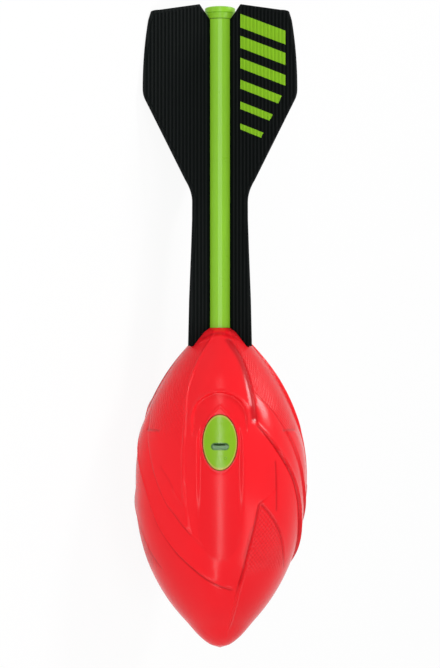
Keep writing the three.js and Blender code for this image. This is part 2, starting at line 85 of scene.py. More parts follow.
# Edges of the swirl and of the hood's tail end: degrees from a whistle's middle, with a share of the length.
SWIRL_LOWER_SHARES = (
    (27, 0.714), (37.5, 0.662), (46, 0.612), (58, 0.536), (66, 0.468), (73, 0.402), (81, 0.35), (90, 0.304),
    (106, 0.246), (115, 0.225), (124, 0.211), (136, 0.2),
)
SWIRL_UPPER_SHARES = (
    (29, 0.812), (41, 0.772), (49, 0.728), (57, 0.674), (66, 0.603), (74, 0.53), (82, 0.468), (89, 0.431),
    (96, 0.392), (108, 0.335), (137, 0.268),
)
HOOD_END_SHARES = (
    (-48, 0.956), (-36, 0.965), (-20, 0.974), (0, 0.978), (18, 0.973), (32, 0.966), (44, 0.957),
)

# Side edges of the hood, the petal and the leaf: a share of the head's length, with degrees.
HOOD_LEFT_SHARES = ((0.5, 95), (0.6, 94), (0.72, 92.5), (0.8, 89), (0.87, 88.5), (0.92, 91), (0.97, 98))
HOOD_RIGHT_SHARES = ((0.7, 148), (0.76, 148.3), (0.87, 149.8), (0.9, 149.6), (0.925, 147.5), (0.97, 139))
PETAL_LEFT_SHARES = (
    (0.02, 14), (0.1, 15.2), (0.2, 16.8), (0.25, 19), (0.31, 20.6), (0.35, 22.2), (0.414, 25.1), (0.45, 26.5),
    (0.468, 28.4), (0.495, 37), (0.51, 40), (0.6, 40.5),
)
LEAF_RIGHT_SHARES = (
    (0.235, 71), (0.257, 66.5), (0.3, 57.5), (0.345, 51), (0.38, 46), (0.416, 39.5), (0.45, 32.5),
    (0.468, 28.4),
)
SCRATCH_SHARES = ((0.46, 96.5), (0.503, 89.5), (0.542, 84.5), (0.575, 78))

# Where panels start and end round the head, and two lines by the petal's edge, in degrees.
ARM_START, ARM_END = 29, 137
GRIP_END = 98
APRON_START, APRON_END = 55, 99
PETAL_SWEEP = 42
SEAM_ANGLE = 40.3
VEIN_GAP = 2.3

# Of the head's length: where the grip panels end, and the stretch over which a leaf starts.
GRIP_EDGE_SHARE = 0.686
LEAF_START_SHARE = 0.06

# Of an arm's own run, from each end, and of a petal's sweep: where they rise and fade.
ARM_RISE_SHARES = (-0.05, 0.16)
ARM_SINK_SHARES = (-0.02, 0.2)
PETAL_FADE_SHARES = (0.9, 1.3)

# Heights, widths and strengths of parts of the relief against their own full ones.
ARM_FAR_SHARE = 0.6
PETAL_SHOULDER_SHARE, PETAL_RIM_SHARE = 0.35, 2
HOOD_SLACK_SHARE = 0.85
LIP_SHARE, LIP_WIDTH_SHARE = 2.6, 1.5
# Painted shade inside the channels and along their sides, and in the ring round each whistle's pocket.
CHANNEL_SHADE_SHARE, CHANNEL_LINE_SHARE = 0.14, 2
RING_SHADE_SHARE = 0.6
NECK_RELIEF_SHARE = 0.3

# Fades: round the head (angles) or along it (shares), with where each starts and ends.
FADE_SHARES = {
    "nose": ("shares", 0, 0.03), "neck_end": ("shares", 0.982, 1),
    "tip_start": ("shares", 0, 0.012), "tip_end": ("shares", 0.015, 0.09),
    "petal_rise": ("shares", 0.02, 0.16), "petal_crease": ("shares", 0.16, 0.24),
    "petal_rim": ("shares", 0.2, 0.3), "petal_shoulder": ("shares", 0.44, 0.5),
    "petal_end": ("shares", 0.5, 0.62), "leaf_sink": ("shares", 0.24, 0.44), "grip_soft": ("angles", 66, 80),
    "hood_rise": ("shares", 0.36, 0.6), "hood_crisp": ("shares", 0.66, 0.72),
    "hood_firm": ("shares", 0.72, 0.765), "hood_slack": ("angles", 131, 149),
    "arch_open": ("shares", 0.655, 0.715), "arch_lip": ("shares", 0.69, 0.73),
}

# Stretches, which start, end and fade at both ends.
PETAL_RUN_SHARES = ("shares", 0.09, 0.46, 0.03)
CHANNEL_RUN_SHARES = ("shares", 0.3, 0.6, 0.06)

# Lines along edges: their shift and width in line widths, their strength and their stretch.
RIM_SHARES = (
    ("lower", 1, 1, 1, ("angles", 31, 128, 6)),
    ("upper", 1, 1, 1.2, ("angles", 82, 110, 8)),
    ("hood_left", 1.5, 1.6, 2.8, ("shares", 0.5, 0.97, 0.05)),
    ("hood_right", -3, 1, 1.4, ("shares", 0.78, 0.95, 0.03)),
    ("hood_end", 1.5, 1.6, 3, ("angles", -40, 26, 8)),
    ("leaf", 1, 1, 0.7, ("shares", 0.33, 0.46, 0.04)),
    ("scratch", 0, 1, 1.8, ("shares", 0.466, 0.507, 0.01)),
)
# Crease lines are grooves in the foam and are also painted darker in its colour, as painted shade.
CREASE_SHARES = (
    ("lower", -1, 1, 1, ("angles", 31, 128, 6)),
    ("upper", 0, 1, 0.55, ("angles", 32, 96, 6)),
    ("vein", 0, 1, 0.4, ("shares", 0.315, 0.385, 0.02)),
    ("seam", 0, 1, 0.9, ("shares", 0.45, 0.59, 0.012)),
    ("leaf", -1, 1, 0.8, ("shares", 0.27, 0.462, 0.02)),
    ("scratch", 0, 1, 0.3, ("shares", 0.52, 0.57, 0.02)),
    ("hood_right", 1, 3, 1.8, ("shares", 0.725, 0.955, 0.02)),
    ("hood_left", -1, 1, 0.3, ("shares", 0.8, 0.95, 0.02)),
    ("hood_end", -2, 2, 0.8, ("angles", -40, 40, 8)),
    ("grip_edge", 0, 1, 0.9, ("angles", 53, 70, 2)),
)

# Half width of the whistle channel along it, from its foot to its arch.
CHANNEL_WIDTH_SHARES = (
    (0, 0.06), (0.012, 0.27), (0.04, 0.5), (0.1, 0.78), (0.16, 0.92), (0.28, 1), (0.8, 1), (1, 1),
)
SLIT_ASIDE_SHARE = 0.9  # of the room beside the slit, on the side of the tail

# A fin's outer edge, in shares of its reach and height: its foot's end, then lines and curves, each as steps,
# the point that a curve bends towards and its end. Past the shoulder, an inset lowers the edge as well.
FIN_FOOT_SHARE = 0.413
FIN_SHOULDER_SHARE = 0.95
FIN_EDGE_SHARES = (
    (1, (0.4, 0.134)), (1, (0.374, 0.283)), (1, (0.361, 0.37)), (1, (0.36, 0.422)),
    (10, (0.363, 0.453), (0.451, 0.484)), (1, (0.972, 0.713)), (10, (0.999, 0.726), (1, 0.742)),
    (10, (1, 0.845), (0.929, 0.942)), (1, (0.897, 0.966)), (5, (0.889, 0.972), (0.804, 0.9735)),
)

# Half of a fin's rib, across in rib pitches and up in its height.
RIB_SHARES = ((-0.36, 0), (-0.22, 0.82), (-0.13, 0.97), (0, 1), (0.13, 0.97), (0.22, 0.82), (0.36, 0))

# Noises: patches per metre, with their detail.
NOISES = {
    "foam mottle": (90, 3), "foam pores": (2600, 2), "plastic mottle": (140, 3), "plastic grain": (1800, 2),
    "cap swirl": (420, 2), "fin mottle": (60, 2), "fin grain": (1500, 3), "floor mottle": (4, 2),
}

# Looks of the finishes, with how dark a finish's mottle gets and what it adds to the roughness.
Look = namedtuple("Look", "mottle refraction roughness sheen darkest unevenness", defaults=(1, 0))
PLASTIC = Look("plastic mottle", refraction=1.47, roughness=0.25, sheen=0.3, darkest=0.93, unevenness=0.08)
LOOKS = {
    "Foam skin": Look(
        "foam mottle", refraction=1.45, roughness=0.17, sheen=0.17, darkest=0.94, unevenness=0.08,
    ),
    "Shaft plastic": PLASTIC,
    "Cup plastic": PLASTIC._replace(roughness=0.4),
    "Whistle plastic": PLASTIC._replace(roughness=0.18, darkest=0.88),
    "Fin sheet": Look("fin mottle", refraction=1.45, roughness=0.5, sheen=0.05, unevenness=0.12),
    "Studio floor": Look("floor mottle", refraction=1.5, roughness=0.9, sheen=0, darkest=0.99),
}

# Strengths of the marks in the finishes.
# Painted shade in the weave's valleys on the grips and leaves.
WEAVE_SHADE_SHARE = 0.25
WEAVE_ROUGH_SHARE = 0.03
PORE_SHARE, FOAM_MOTTLE_SHARE = 0.1, 0.25
GRAIN_SHARE, SWIRL_SHARE = 0.3, 0.5
# Painted reflection along the caps' rims: where it starts and ends on the oval, and its strength.
CAP_REFLECTION_SHARES = (0.9, 0.96)
CAP_REFLECTION_SHARE = 0.7
# Painted shade in the moulding mark's ring.
MARK_SHARE = 0.35
# Painted light on the fins' ribs: how far the mottle dims it, and how much of the print shows in the painted
# shade between ribs.
CREST_SHARE = 0.75
PRINT_SHARE = 0.8


# Properties

def length(name, description, millimetres):
    """A size, given in millimetres and held in metres."""
    return bpy.props.FloatProperty(
        name=name, description=description, default=millimetres / MILLIMETRES, precision=5,
        unit="LENGTH", subtype="DISTANCE",
    )


def lengths(name, description, millimetres):
    """Several sizes or a place, given in millimetres and held in metres."""
    return bpy.props.FloatVectorProperty(
        name=name, description=description, default=[number / MILLIMETRES for number in millimetres],
        size=len(millimetres), unit="LENGTH", subtype="XYZ",
    )


def portion(name, description, value):
    """A share of some other size."""
    return bpy.props.FloatProperty(name=name, description=description, default=value, subtype="FACTOR")


def plain(name, description, value):
    """A number with no unit of Blender's own."""
    return bpy.props.FloatProperty(name=name, description=description, default=value)


def count(name, description, value):
    """A number of parts or steps."""
    return bpy.props.IntProperty(name=name, description=description, default=value, min=3)


def colour(name, description, value):
    """A linear colour."""
    return bpy.props.FloatVectorProperty(
        name=name, description=description, default=value, size=3, min=0, max=1, subtype="COLOR",
    )


class VortexHeadSizes(bpy.types.PropertyGroup):
    """Sizes of the foam head and its relief."""
    foam_length: length("Foam length", "Nose tip to neck rim", 161.4)
    belly_radius: length("Belly radius", "At the lowest level of the relief", 42.6)
    neck_radius: length("Neck radius", "At the neck rim, below the relief", 8.1)
    belly_share: portion("Belly share", "Place of the widest part", 0.527)
    nose_power: portion("Nose power", "How fast the nose narrows", 2.3)
    nose_blunt_power: portion("Nose blunting", "How round the tip is", 0.83)
    shoulder_power: portion("Shoulder power", "How fast the shoulder narrows", 2.1)
    neck_fade: length("Neck fade", "The relief flattens over this length below the rim", 26)
    hood_height: length("Hood height", "Of the panels that carry the whistles", 1.3)
    apron_height: length("Apron height", "Of the plain field below each grip panel", 1.0)
    grip_height: length("Grip height", "Of the textured panels", 0.2)
    swirl_edge_height: length("Swirl edge height", "Of each arm's lower edge", 1.3)
    swirl_root_height: length("Swirl root height", "Of each arm where it comes out from under a hood", 0.15)
    petal_height: length("Petal height", "Of the nose petals' raised sides", 1.0)
    faint_height: length("Faint height", "Where one panel dies out over the next", 0.14)
    leaf_depth: length("Leaf depth", "Of the textured leaves' tips, below the petal", 0.45)
    channel_floor: length("Channel floor", "Height of the whistle channels' floor", 0.2)
    channel_half_width: length("Channel half width", "Along its straight stretch", 10.3)
    channel_blur: length("Channel blur", "How far its sides are rounded off", 2.4)
    channel_foot_share: portion("Channel foot", "Place of the nose end", 0.298)
    arch_share: portion("Arch", "Place of the middle of the channel's round tail end", 0.722)
    arch_radius: length("Arch radius", "Of the channel's round tail end", 13.1)
    bezel_reach: length("Bezel reach", "From the whistle's middle to the point of the rim round it", 18.6)
    bezel_gap: length("Bezel gap", "From the whistle's pocket to the rim round it", 0.5)
    edge_blur: length("Edge blur", "How far a panel's edge is rounded off", 0.7)
    soft_blur: length("Soft blur", "How far a faint edge is rounded off", 4)
    neck_round: length("Neck rounding", "Of the foam's tail end", 1.1)
    rim_height: length("Rim height", "Of the rounded rims along the panels' edges", 0.25)
    rim_width: length("Rim width", "Of the rounded rims along the panels' edges", 0.55)
    crease_depth: length("Crease depth", "Of the lines between panels", 0.22)
    crease_width: length("Crease width", "Of the lines between panels", 0.55)
    tip_swell: length("Tip swell", "Extra roundness at the very tip", 1.8)
    weave_pitch: length("Weave pitch", "Of the texture on the grips and leaves", 2.4)
    weave_depth: length("Weave depth", "Of the texture on the grips and leaves", 0.15)
    leaf_weave: portion("Leaf weave", "Of the leaves' texture against that of the grips", 1.7)
    columns: count("Columns", "Steps round the head", 720)
    rows: count("Rows", "Steps along the head", 400)
    fine_rows: count("Fine rows", "Steps of the profile for each row", 10)


class VortexWhistleSizes(bpy.types.PropertyGroup):
    """Sizes of the whistles."""
    place_share: portion("Place", "Share of the foam's length from the nose", 0.654)
    half_width: length("Half width", "Of the oval cap", 8.3)
    half_length: length("Half length", "Of the oval cap", 13.7)
    dome_height: length("Dome height", "Of the cap's crown", 1.1)
    proud: length("Proud", "How far the crown stands above the channel's floor", 0.3)
    cap_thickness: length("Cap thickness", "Below the crown", 1.8)
    cap_edge: length("Cap edge", "Rounding of the cap's rim", 0.4)
    cap_relief: length("Cap relief", "Of the cap's moulding marks", 0.12)
    slot_width: length("Slot width", "Across the cap", 8.1)
    slot_height: length("Slot height", "Along the cap", 2.9)
    slot_shift: length("Slot shift", "From the cap's middle towards the nose", 2.2)
    slot_depth: length("Slot depth", "From the crown to the slot's floor", 1.5)
    slit_share: portion("Slit", "Width of the opening in the slot's floor", 0.22)
    slot_line: length("Slot line", "Width of the dark line round the slot", 0.6)
    mark_aside: length("Mark aside", "Small moulding mark, from the cap's middle line", 2.6)
    mark_below: length("Mark below", "Small moulding mark, from the cap's middle towards the nose", 8)
    mark_radius: length("Mark radius", "Small moulding mark", 0.6)
    cup_depth: length("Cup depth", "Of the resonator under the cap", 14)
    clearance: length("Clearance", "Between pieces that fit together", 0.3)
    overrun: length("Overrun", "How far a cutter runs past what it opens", 5)


class VortexTailSizes(bpy.types.PropertyGroup):
    """Sizes of the shaft, its cap and the fins."""
    tail_length: length("Tail length", "Neck rim to the fins' tail ends", 162.5)
    shaft_radius: length("Shaft radius", "Of the railed rod", 6.45)
    shaft_flat: length("Shaft flat", "Width of the flats along the rod, between two rails", 2.1)
    shaft_sink: length("Shaft sink", "Length held inside the foam", 70)
    plastic_relief: length("Plastic relief", "Of the plastic's wavy skin", 0.06)
    bore_radius: length("Bore radius", "Of the shaft's central bore", 1.5)
    rail_place: length("Rail place", "From the shaft's axis to each rail's middle", 4)
    bead_radius: length("Bead radius", "Of the fins' root beads", 1.35)
    anchor_radius: length("Anchor radius", "Of the flange on the shaft's inner end", 12)
    anchor_thickness: length("Anchor thickness", "Of the flange on the shaft's inner end", 2.4)
    stem_length: length("Stem length", "Of the cap's stem in the shaft's bore", 14)
    flange_radius: length("Flange radius", "Of the tail cap", 7.7)
    flange_height: length("Flange height", "Of the tail cap", 3.2)
    flange_face_radius: length("Flange face radius", "Of the flat end", 5.2)
    flange_crown: length("Flange crown", "How far the rounded edge drops", 0.9)
    cone_height: length("Cone height", "From the flange to the shaft", 2.8)
    cap_inset: length("Cap inset", "From the fins' ends to the cap's end", 0.8)
    fin_tip_radius: length("Fin tip radius", "From the axis to the fins' outer edge", 43.9)
    fin_sink: length("Fin sink", "How far the fins' feet lie inside the neck", 9.1)
    web_thickness: length("Web thickness", "Of a fin between its ribs", 1.6)
    rib_height: length("Rib height", "Above each face of the web", 0.45)
    rib_pitch: length("Rib pitch", "From rib to rib", 2.06)
    rib_start: length("Rib start", "From the axis to the first rib", 8.6)
    fin_rim: length("Fin rim", "Plain border round the ribs", 1.5)
    fin_relief: length("Fin relief", "Of the sheet's grain", 0.05)
    corner_inset: length("Corner inset", "From the cap's flange to the fins' inner corner", 4.5)
    bars: count("Bars", "Printed on the upper fin", 6)
    bar_pitch: length("Bar pitch", "From printed bar to bar", 11)
    bar_share: portion("Bar share", "Thickness of the first bar as a share of the pitch", 0.62)
    bar_thinning: portion("Bar thinning", "From bar to bar, as a share of the pitch", 0.07)
    bar_slant: portion("Bar slant", "How far each bar drops for its length", 0.4)
    bar_inner: length("Bar inner end", "From the axis", 12.5)
    bar_outer: length("Bar outer end", "From the axis", 38)
    bar_turn: length("Bar turn", "Below the fin's tail end, where the bars get shorter", 44)
    bar_taper: portion("Bar taper", "How fast the bars get shorter", 0.58)


class VortexColours(bpy.types.PropertyGroup):
    """Colours of the toy and the floor."""
    foam: colour("Foam", "Moulded foam", (0.845, 0.011, 0.018))
    # Painted shade: the foam's colour down in the crease lines, the channels and the pocket rings.
    foam_crease_shade: colour("Foam crease", "Down in the lines between panels", (0.52, 0.004, 0.009))
    shaft: colour("Shaft", "Extruded rod and tail cap", (0.245, 0.552, 0.024))
    whistle: colour("Whistle", "Whistle caps", (0.212, 0.44, 0.005))
    # Painted reflection: a pale line along the caps' rims.
    whistle_edge_reflection: colour("Whistle edge", "Pale line along the caps' rims", (0.5, 0.37, 0.08))
    # Painted shade round the slots and in the moulding marks' rings, and on the slots' floors.
    whistle_painted_shade: colour("Whistle dark", "Line round the caps' slots", (0.06, 0.17, 0.03))
    whistle_floor_shade: colour("Whistle floor", "Floor of the caps' slots", (0.075, 0.245, 0.045))
    # Paler than the plastic, as painted light bounced inside the whistles.
    cup: colour("Cup", "Inside of the whistles", (0.2, 0.5, 0.16))
    # Painted light on the ribs' crests and painted shade between them.
    fin_crest_light: colour("Fin crest", "Tops of the fins' ribs", (0.008, 0.0095, 0.0095))
    fin_valley_shade: colour("Fin valley", "Between the fins' ribs", (0.001, 0.002, 0.0018))
    fin_print: colour("Fin print", "Bars printed on the upper fin", (0.25, 0.53, 0.02))
    floor: colour("Floor", "Studio floor", (0.86, 0.86, 0.86))


class VortexStageSettings(bpy.types.PropertyGroup):
    """The studio: camera, lamps and floor."""
    camera_distance: length("Camera distance", "From the toy's axis", 1100)
    view_height: length("View height", "Length of the toy's axis that the picture spans", 337.3)
    view_place: length("View place", "From the nose to the middle of the picture", 158.3)
    sensor: plain("Sensor", "Long side, in camera millimetres", 36)
    floor_size: length("Floor size", "Side of the square floor", 60000)
    strip_place: lengths("Strip place", "From the view's middle, in the toy's axes", (0, -900, 0))
    strip_size: lengths("Strip size", "Across and along the toy", (20, 3200))
    strip_power: plain("Strip power", "In watts", 10.2)
    key_place: lengths("Key place", "From the view's middle, in the frame", (700, -100, 1500))
    key_size: lengths("Key size", "Across and along the toy", (900, 900))
    key_power: plain("Key power", "In watts", 8.7)
    side_place: lengths("Side place", "From the view's middle, in the toy's axes", (1000, -120, 750))
    side_size: lengths("Side size", "Across and along the toy", (320, 320))
    side_power: plain("Side power", "In watts", 8.5)
    world_strength: plain("World strength", "Of the surround, as a light", 0.215)
    floor_whiteness: portion("Floor whiteness", "How far the floor looks white, where it is seen", 0.93)


def head_sizes():
    return bpy.context.scene.vortex_head


def whistle_sizes():
    return bpy.context.scene.vortex_whistle


def tail_sizes():
    return bpy.context.scene.vortex_tail


def toy_colours():
    return bpy.context.scene.vortex_colours


# Places in the frame

def toy_axes():
    """The toy's own axes in the frame, from the mount on its tail end."""
    mount = frame["record"]["mounts"][0]
    tail_end = Vector(mount["pos_m"])
    tailwards = Vector(mount["axis"]).normalized()
    side = Vector((0, 1, 0))
    lift = side.cross(tailwards)
    roll = math.radians(ROLL)
    across = lift * math.cos(roll) + side * math.sin(roll)
    inwards = side * math.cos(roll) - lift * math.sin(roll)
    end_place = head_sizes().foam_length + tail_sizes().tail_length - tail_sizes().cap_inset
    nose = tail_end - tailwards * end_place
    turn = Matrix((across, inwards, tailwards)).transposed().to_4x4()
    return Matrix.Translation(nose) @ turn


def about_axis(angle):
    return Matrix.Rotation(math.radians(angle), 4, "Z")


def whistle_seat():
    """Where the front whistle sits: opening towards Z, tail towards Y, as its cap is modelled."""
    head = head_sizes()
    whistle = whistle_sizes()
    share = whistle.place_share
    step = whistle.clearance / head.foam_length
    here, there = profile_radius(head, np.array([share, share + step]))
    tilt = math.atan((here - there) / whistle.clearance)
    radius = here + head.channel_floor + whistle.proud - whistle.dome_height
    place = Matrix.Translation((0, -radius, share * head.foam_length))
    return place @ Matrix.Rotation(QUARTER_TURN - tilt, 4, "X")


def finished(piece, local, node):
    """Lays a piece in the frame and hides the node that it stands for."""
    piece.data.transform(toy_axes() @ local)
    piece.data.update()
    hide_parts(node)
    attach(piece, BODY)


# Modelling steps

def pick(*pieces):
    """Selects these pieces alone, with the first of them active."""
    if bpy.context.mode != "OBJECT":
        bpy.ops.object.mode_set(mode="OBJECT")
    bpy.ops.object.select_all(action="DESELECT")
    for piece in pieces:
        piece.select_set(True)
    bpy.context.view_layer.objects.active = next(iter(pieces), None)


def named(name):
    """The active object and its mesh, with this name."""
    piece = bpy.context.active_object
    piece.name = name
    piece.data.name = name
    return piece


def closed(name):
    """Ends a solid's modelling: merges doubles, turns every face outwards and applies its place."""
    bpy.ops.mesh.select_all(action="SELECT")
    bpy.ops.mesh.remove_doubles(threshold=TINY)
    bpy.ops.mesh.normals_make_consistent(inside=False)
    bpy.ops.object.mode_set(mode="OBJECT")
    bpy.ops.object.transform_apply(location=True, rotation=True, scale=True)
    return named(name)


def turned(name, profile, segments):
    """A solid of revolution about Z: a filled circle, extruded and scaled from foot to top."""
    pick()
    (radius, height), *rest = profile
    bpy.ops.mesh.primitive_circle_add(
        vertices=segments, radius=radius, fill_type="NGON", location=(0, 0, height), enter_editmode=True,
    )
    for next_radius, next_height in rest:
        bpy.ops.mesh.extrude_region_move(TRANSFORM_OT_translate={"value": (0, 0, next_height - height)})
        scale = next_radius / radius
        bpy.ops.transform.resize(value=(scale, scale, 1), center_override=(0, 0, next_height))
        radius, height = next_radius, next_height
    return closed(name)


def rod(name, radius, foot, top, segments):
    return turned(name, [(radius, foot), (radius, top)], segments)


def traced(name, outline, foot, top):
    """A slab of an outline in X and Y, drawn point by point, filled and extruded from foot to top."""
    pick()
    (x, y), *rest = outline
    bpy.ops.mesh.primitive_plane_add(size=top - foot, location=(x, y, foot), enter_editmode=True)
    bpy.ops.mesh.merge(type="CENTER")
    for next_x, next_y in rest:
        bpy.ops.mesh.extrude_region_move(TRANSFORM_OT_translate={"value": (next_x - x, next_y - y, 0)})
        x, y = next_x, next_y
    bpy.ops.mesh.select_all(action="SELECT")
    bpy.ops.mesh.edge_face_add()
    bpy.ops.mesh.extrude_region_move(TRANSFORM_OT_translate={"value": (0, 0, top - foot)})
    return closed(name)


def rectangle(half_width, start, end):
    """Outline of a rectangle about the Y axis, from one place along it to another."""
    return [(-half_width, start), (half_width, start), (half_width, end), (-half_width, end)]


def arc(middle, radii, start, end, steps):
    """Points of a round or oval arc between two angles, its radii towards X and Y."""
    turns = [mix(start, end, i / steps) for i in range(steps + 1)]
    return [(middle[0] + radii[0] * math.cos(turn), middle[1] + radii[1] * math.sin(turn)) for turn in turns]


def curve(start, bend, end, steps):
    """Points of a curve from start, drawn towards bend, to end, without the first."""
    points = []
    for i in range(1, steps + 1):
        t = i / steps
        weights = ((1 - t) ** 2, 2 * t * (1 - t), t * t)
        points.append(np.dot(weights, (start, bend, end)).tolist())
    return points


def applied(piece, kind, **settings):
    """Gives a piece a modifier and applies it."""
    change = piece.modifiers.new(kind.title(), kind)
    for setting, value in settings.items():
        setattr(change, setting, value)
    pick(piece)
    bpy.ops.object.modifier_apply(modifier=change.name)


def combine(piece, other, operation):
    """Cuts or joins one closed solid with another, and uses the other up."""
    applied(piece, "BOOLEAN", operation=operation, object=other, solver="MANIFOLD")
    bpy.data.objects.remove(other)


def copied(piece, name):
    """Another piece of the same shape, with a mesh of its own."""
    pick(piece)
    bpy.ops.object.duplicate(linked=False)
    return named(name)


def thirds(piece, place, angle=0):
    """A piece laid in its place and turned into all three sectors from an angle on, as one object."""
    copies = []
    for sector in range(SECTORS):
        copy = copied(piece, piece.name)
        copy.data.transform(about_axis(angle + SECTOR * sector) @ place)
        copies.append(copy)
    bpy.data.objects.remove(piece)
    pick(*copies)
    bpy.ops.object.join()
    return copies[0]


def smoothed(piece, angle):
    """Smooth shading, with edges sharper than an angle in degrees kept crisp."""
    pick(piece)
    bpy.ops.object.shade_smooth_by_angle(angle=math.radians(angle))


# The foam head's skin

def mix(start, end, share):
    return start + (end - start) * share


def smooth(value, start, end):
    share = np.clip((value - start) / (end - start), 0, 1)
    return share * share * (3 - 2 * share)


def ridge(distance, width):
    """One where a distance is zero, fading over a width."""
    return np.exp(-(distance / width) ** 2)


def along_edge(pairs, at):
    """A smooth line through pairs of numbers, read at any first number."""
    firsts, seconds = np.array(pairs, float).T
    numbers = np.arange(len(firsts))
    before = np.maximum(numbers - 1, 0)
    after = np.minimum(numbers + 1, len(firsts) - 1)
    slopes = (seconds[after] - seconds[before]) / (firsts[after] - firsts[before])
    i = np.clip(np.searchsorted(firsts, at) - 1, 0, len(firsts) - 2)
    step = firsts[i + 1] - firsts[i]
    t = np.clip((at - firsts[i]) / step, 0, 1)
    lead = t * (1 - t) ** 2 * slopes[i] * step
    trail = t * t * (1 - t) * slopes[i + 1] * step
    return mix(seconds[i], seconds[i + 1], smooth(t, 0, 1)) + lead - trail


def profile_radius(head, share):
    """Radius of the head at shares of its length, below the relief."""
    nose = np.clip((head.belly_share - share) / head.belly_share, 0, 1)
    shoulder = np.clip((share - head.belly_share) / (1 - head.belly_share), 0, 1)
    front = head.belly_radius * (1 - nose ** head.nose_power) ** head.nose_blunt_power
    back = mix(head.neck_radius, head.belly_radius, 1 - shoulder ** head.shoulder_power)
    return np.where(share < head.belly_share, front, back)


class HeadSkin:
    """The skin as a grid of angles round the head and shares along it, evenly spaced along the profile."""

    def __init__(self, head):
        self.head = head
        fine_share = (1 - np.cos(np.linspace(0, math.pi, head.rows * head.fine_rows))) / 2
        fine_radius = profile_radius(head, fine_share)
        fine_step = np.hypot(np.diff(fine_share) * head.foam_length, np.diff(fine_radius))
        fine_arc = np.concatenate([[0], np.cumsum(fine_step)])
        self.arc = np.linspace(0, fine_arc[-1], head.rows + 1)
        self.share = np.interp(self.arc, fine_arc, fine_share)
        self.angle = SECTOR * (SECTORS * np.arange(head.columns) / head.columns - 1)
        self.angles, self.shares = np.meshgrid(self.angle, self.share)
        self.radii = profile_radius(head, self.shares)

    def distance(self, field):
        """Metres along the skin to the line where a field is zero, positive where the field is."""
        thinnest = self.head.foam_length / self.head.rows
        lengthwise = np.gradient(field, self.arc, axis=0)
        crosswise = np.gradient(field, np.radians(self.angle), axis=1) / np.maximum(self.radii, thinnest)
        return field / np.maximum(np.hypot(lengthwise, crosswise), TINY)

    def side(self, field, blur=None):
        """One on the side where a field is positive, with a rounded edge."""
        blur = self.head.edge_blur if blur is None else blur
        return smooth(self.distance(field), -blur / 2, blur / 2)

    def between(self, start, end, end_blur=None):
        """One between two angles, with rounded edges."""
        return self.side(self.angles - start) * self.side(end - self.angles, end_blur)

    def line(self, field, shift, width):
        """One along the line where a field is zero, shifted to the positive side, fading over a width."""
        return ridge(self.distance(field) - shift, width)

    def fade(self, name):
        """Zero up to where a fade starts and one from where it ends."""
        coordinate, start, end = FADE_SHARES[name]
        return smooth(getattr(self, coordinate), start, end)

    def stretch(self, coordinate, start, end, blur):
        """One over a stretch, fading over a blur beyond both its ends."""
        value = getattr(self, coordinate)
        return smooth(value, start - blur, start) * (1 - smooth(value, end, end + blur))

    def thrice(self, layer):
        """The same layer in all three sectors."""
        third = self.head.columns // SECTORS
        return np.maximum.reduce([np.roll(layer, third * sector, axis=1) for sector in range(SECTORS)])


class Edges:
    """Fields that are zero along the panels' edges and positive on the raised side."""

    def __init__(self, skin):
        self.lower = skin.shares - along_edge(SWIRL_LOWER_SHARES, skin.angles)
        self.upper = skin.shares - along_edge(SWIRL_UPPER_SHARES, skin.angles)
        self.hood_left = skin.angles - along_edge(HOOD_LEFT_SHARES, skin.shares)
        self.hood_right = along_edge(HOOD_RIGHT_SHARES, skin.shares) - skin.angles
        self.hood_end = along_edge(HOOD_END_SHARES, skin.angles) - skin.shares
        self.petal = skin.angles - along_edge(PETAL_LEFT_SHARES, skin.shares)
        self.leaf = skin.angles - along_edge(LEAF_RIGHT_SHARES, skin.shares)
        self.scratch = skin.angles - along_edge(SCRATCH_SHARES, skin.shares)
        self.vein = self.petal + VEIN_GAP
        self.seam = skin.angles - SEAM_ANGLE
        self.grip_edge = skin.shares - GRIP_EDGE_SHARE


def swirl_arm(skin, edges):
    """The arm that comes out from under one hood and sweeps round to the next petal."""
    head = skin.head
    run = (skin.angles - ARM_START) / (ARM_END - ARM_START)
    rise = np.minimum(smooth(run, *ARM_RISE_SHARES), smooth(1 - run, *ARM_SINK_SHARES))
    edge = mix(head.swirl_root_height, head.swirl_edge_height, rise)
    across = np.clip(edges.lower / np.maximum(edges.lower - edges.upper, THINNEST_SHARE), 0, 1)
    height = mix(edge, head.swirl_root_height * ARM_FAR_SHARE, across)
    return height * skin.side(edges.lower) * skin.between(ARM_START, ARM_END)


def grip_blur(skin):
    """The grip's lower edge is sharp beside the swirl and dies out towards the hood."""
    return mix(skin.head.edge_blur, skin.head.neck_fade, skin.fade("grip_soft"))


def grip_side(skin, edges):
    """Where the textured grip panel shows, between the hood and the fin."""
    below = skin.side(edges.upper) * skin.side(edges.grip_edge, grip_blur(skin))
    return skin.between(ARM_START, GRIP_END) * below


def apron(skin, edges):
    """The plain field below the grip panel."""
    sides = skin.between(APRON_START, APRON_END, skin.head.soft_blur) * skin.side(edges.upper)
    return skin.head.apron_height * sides * skin.side(-edges.grip_edge, grip_blur(skin))


def hood(skin, edges):
    """The long panel that carries a whistle. Towards the nose it settles, and its sides die out."""
    head = skin.head
    settled = mix(head.faint_height, head.hood_height, skin.fade("hood_rise"))
    slack = (1 - skin.fade("hood_firm")) * skin.fade("hood_slack")
    blur = mix(head.soft_blur, head.edge_blur, skin.fade("hood_crisp"))
    left = skin.side(edges.hood_left, blur)
    right = skin.side(edges.hood_right, np.maximum(blur, head.channel_blur))
    return settled * (1 - HOOD_SLACK_SHARE * slack) * left * right * skin.side(edges.upper)


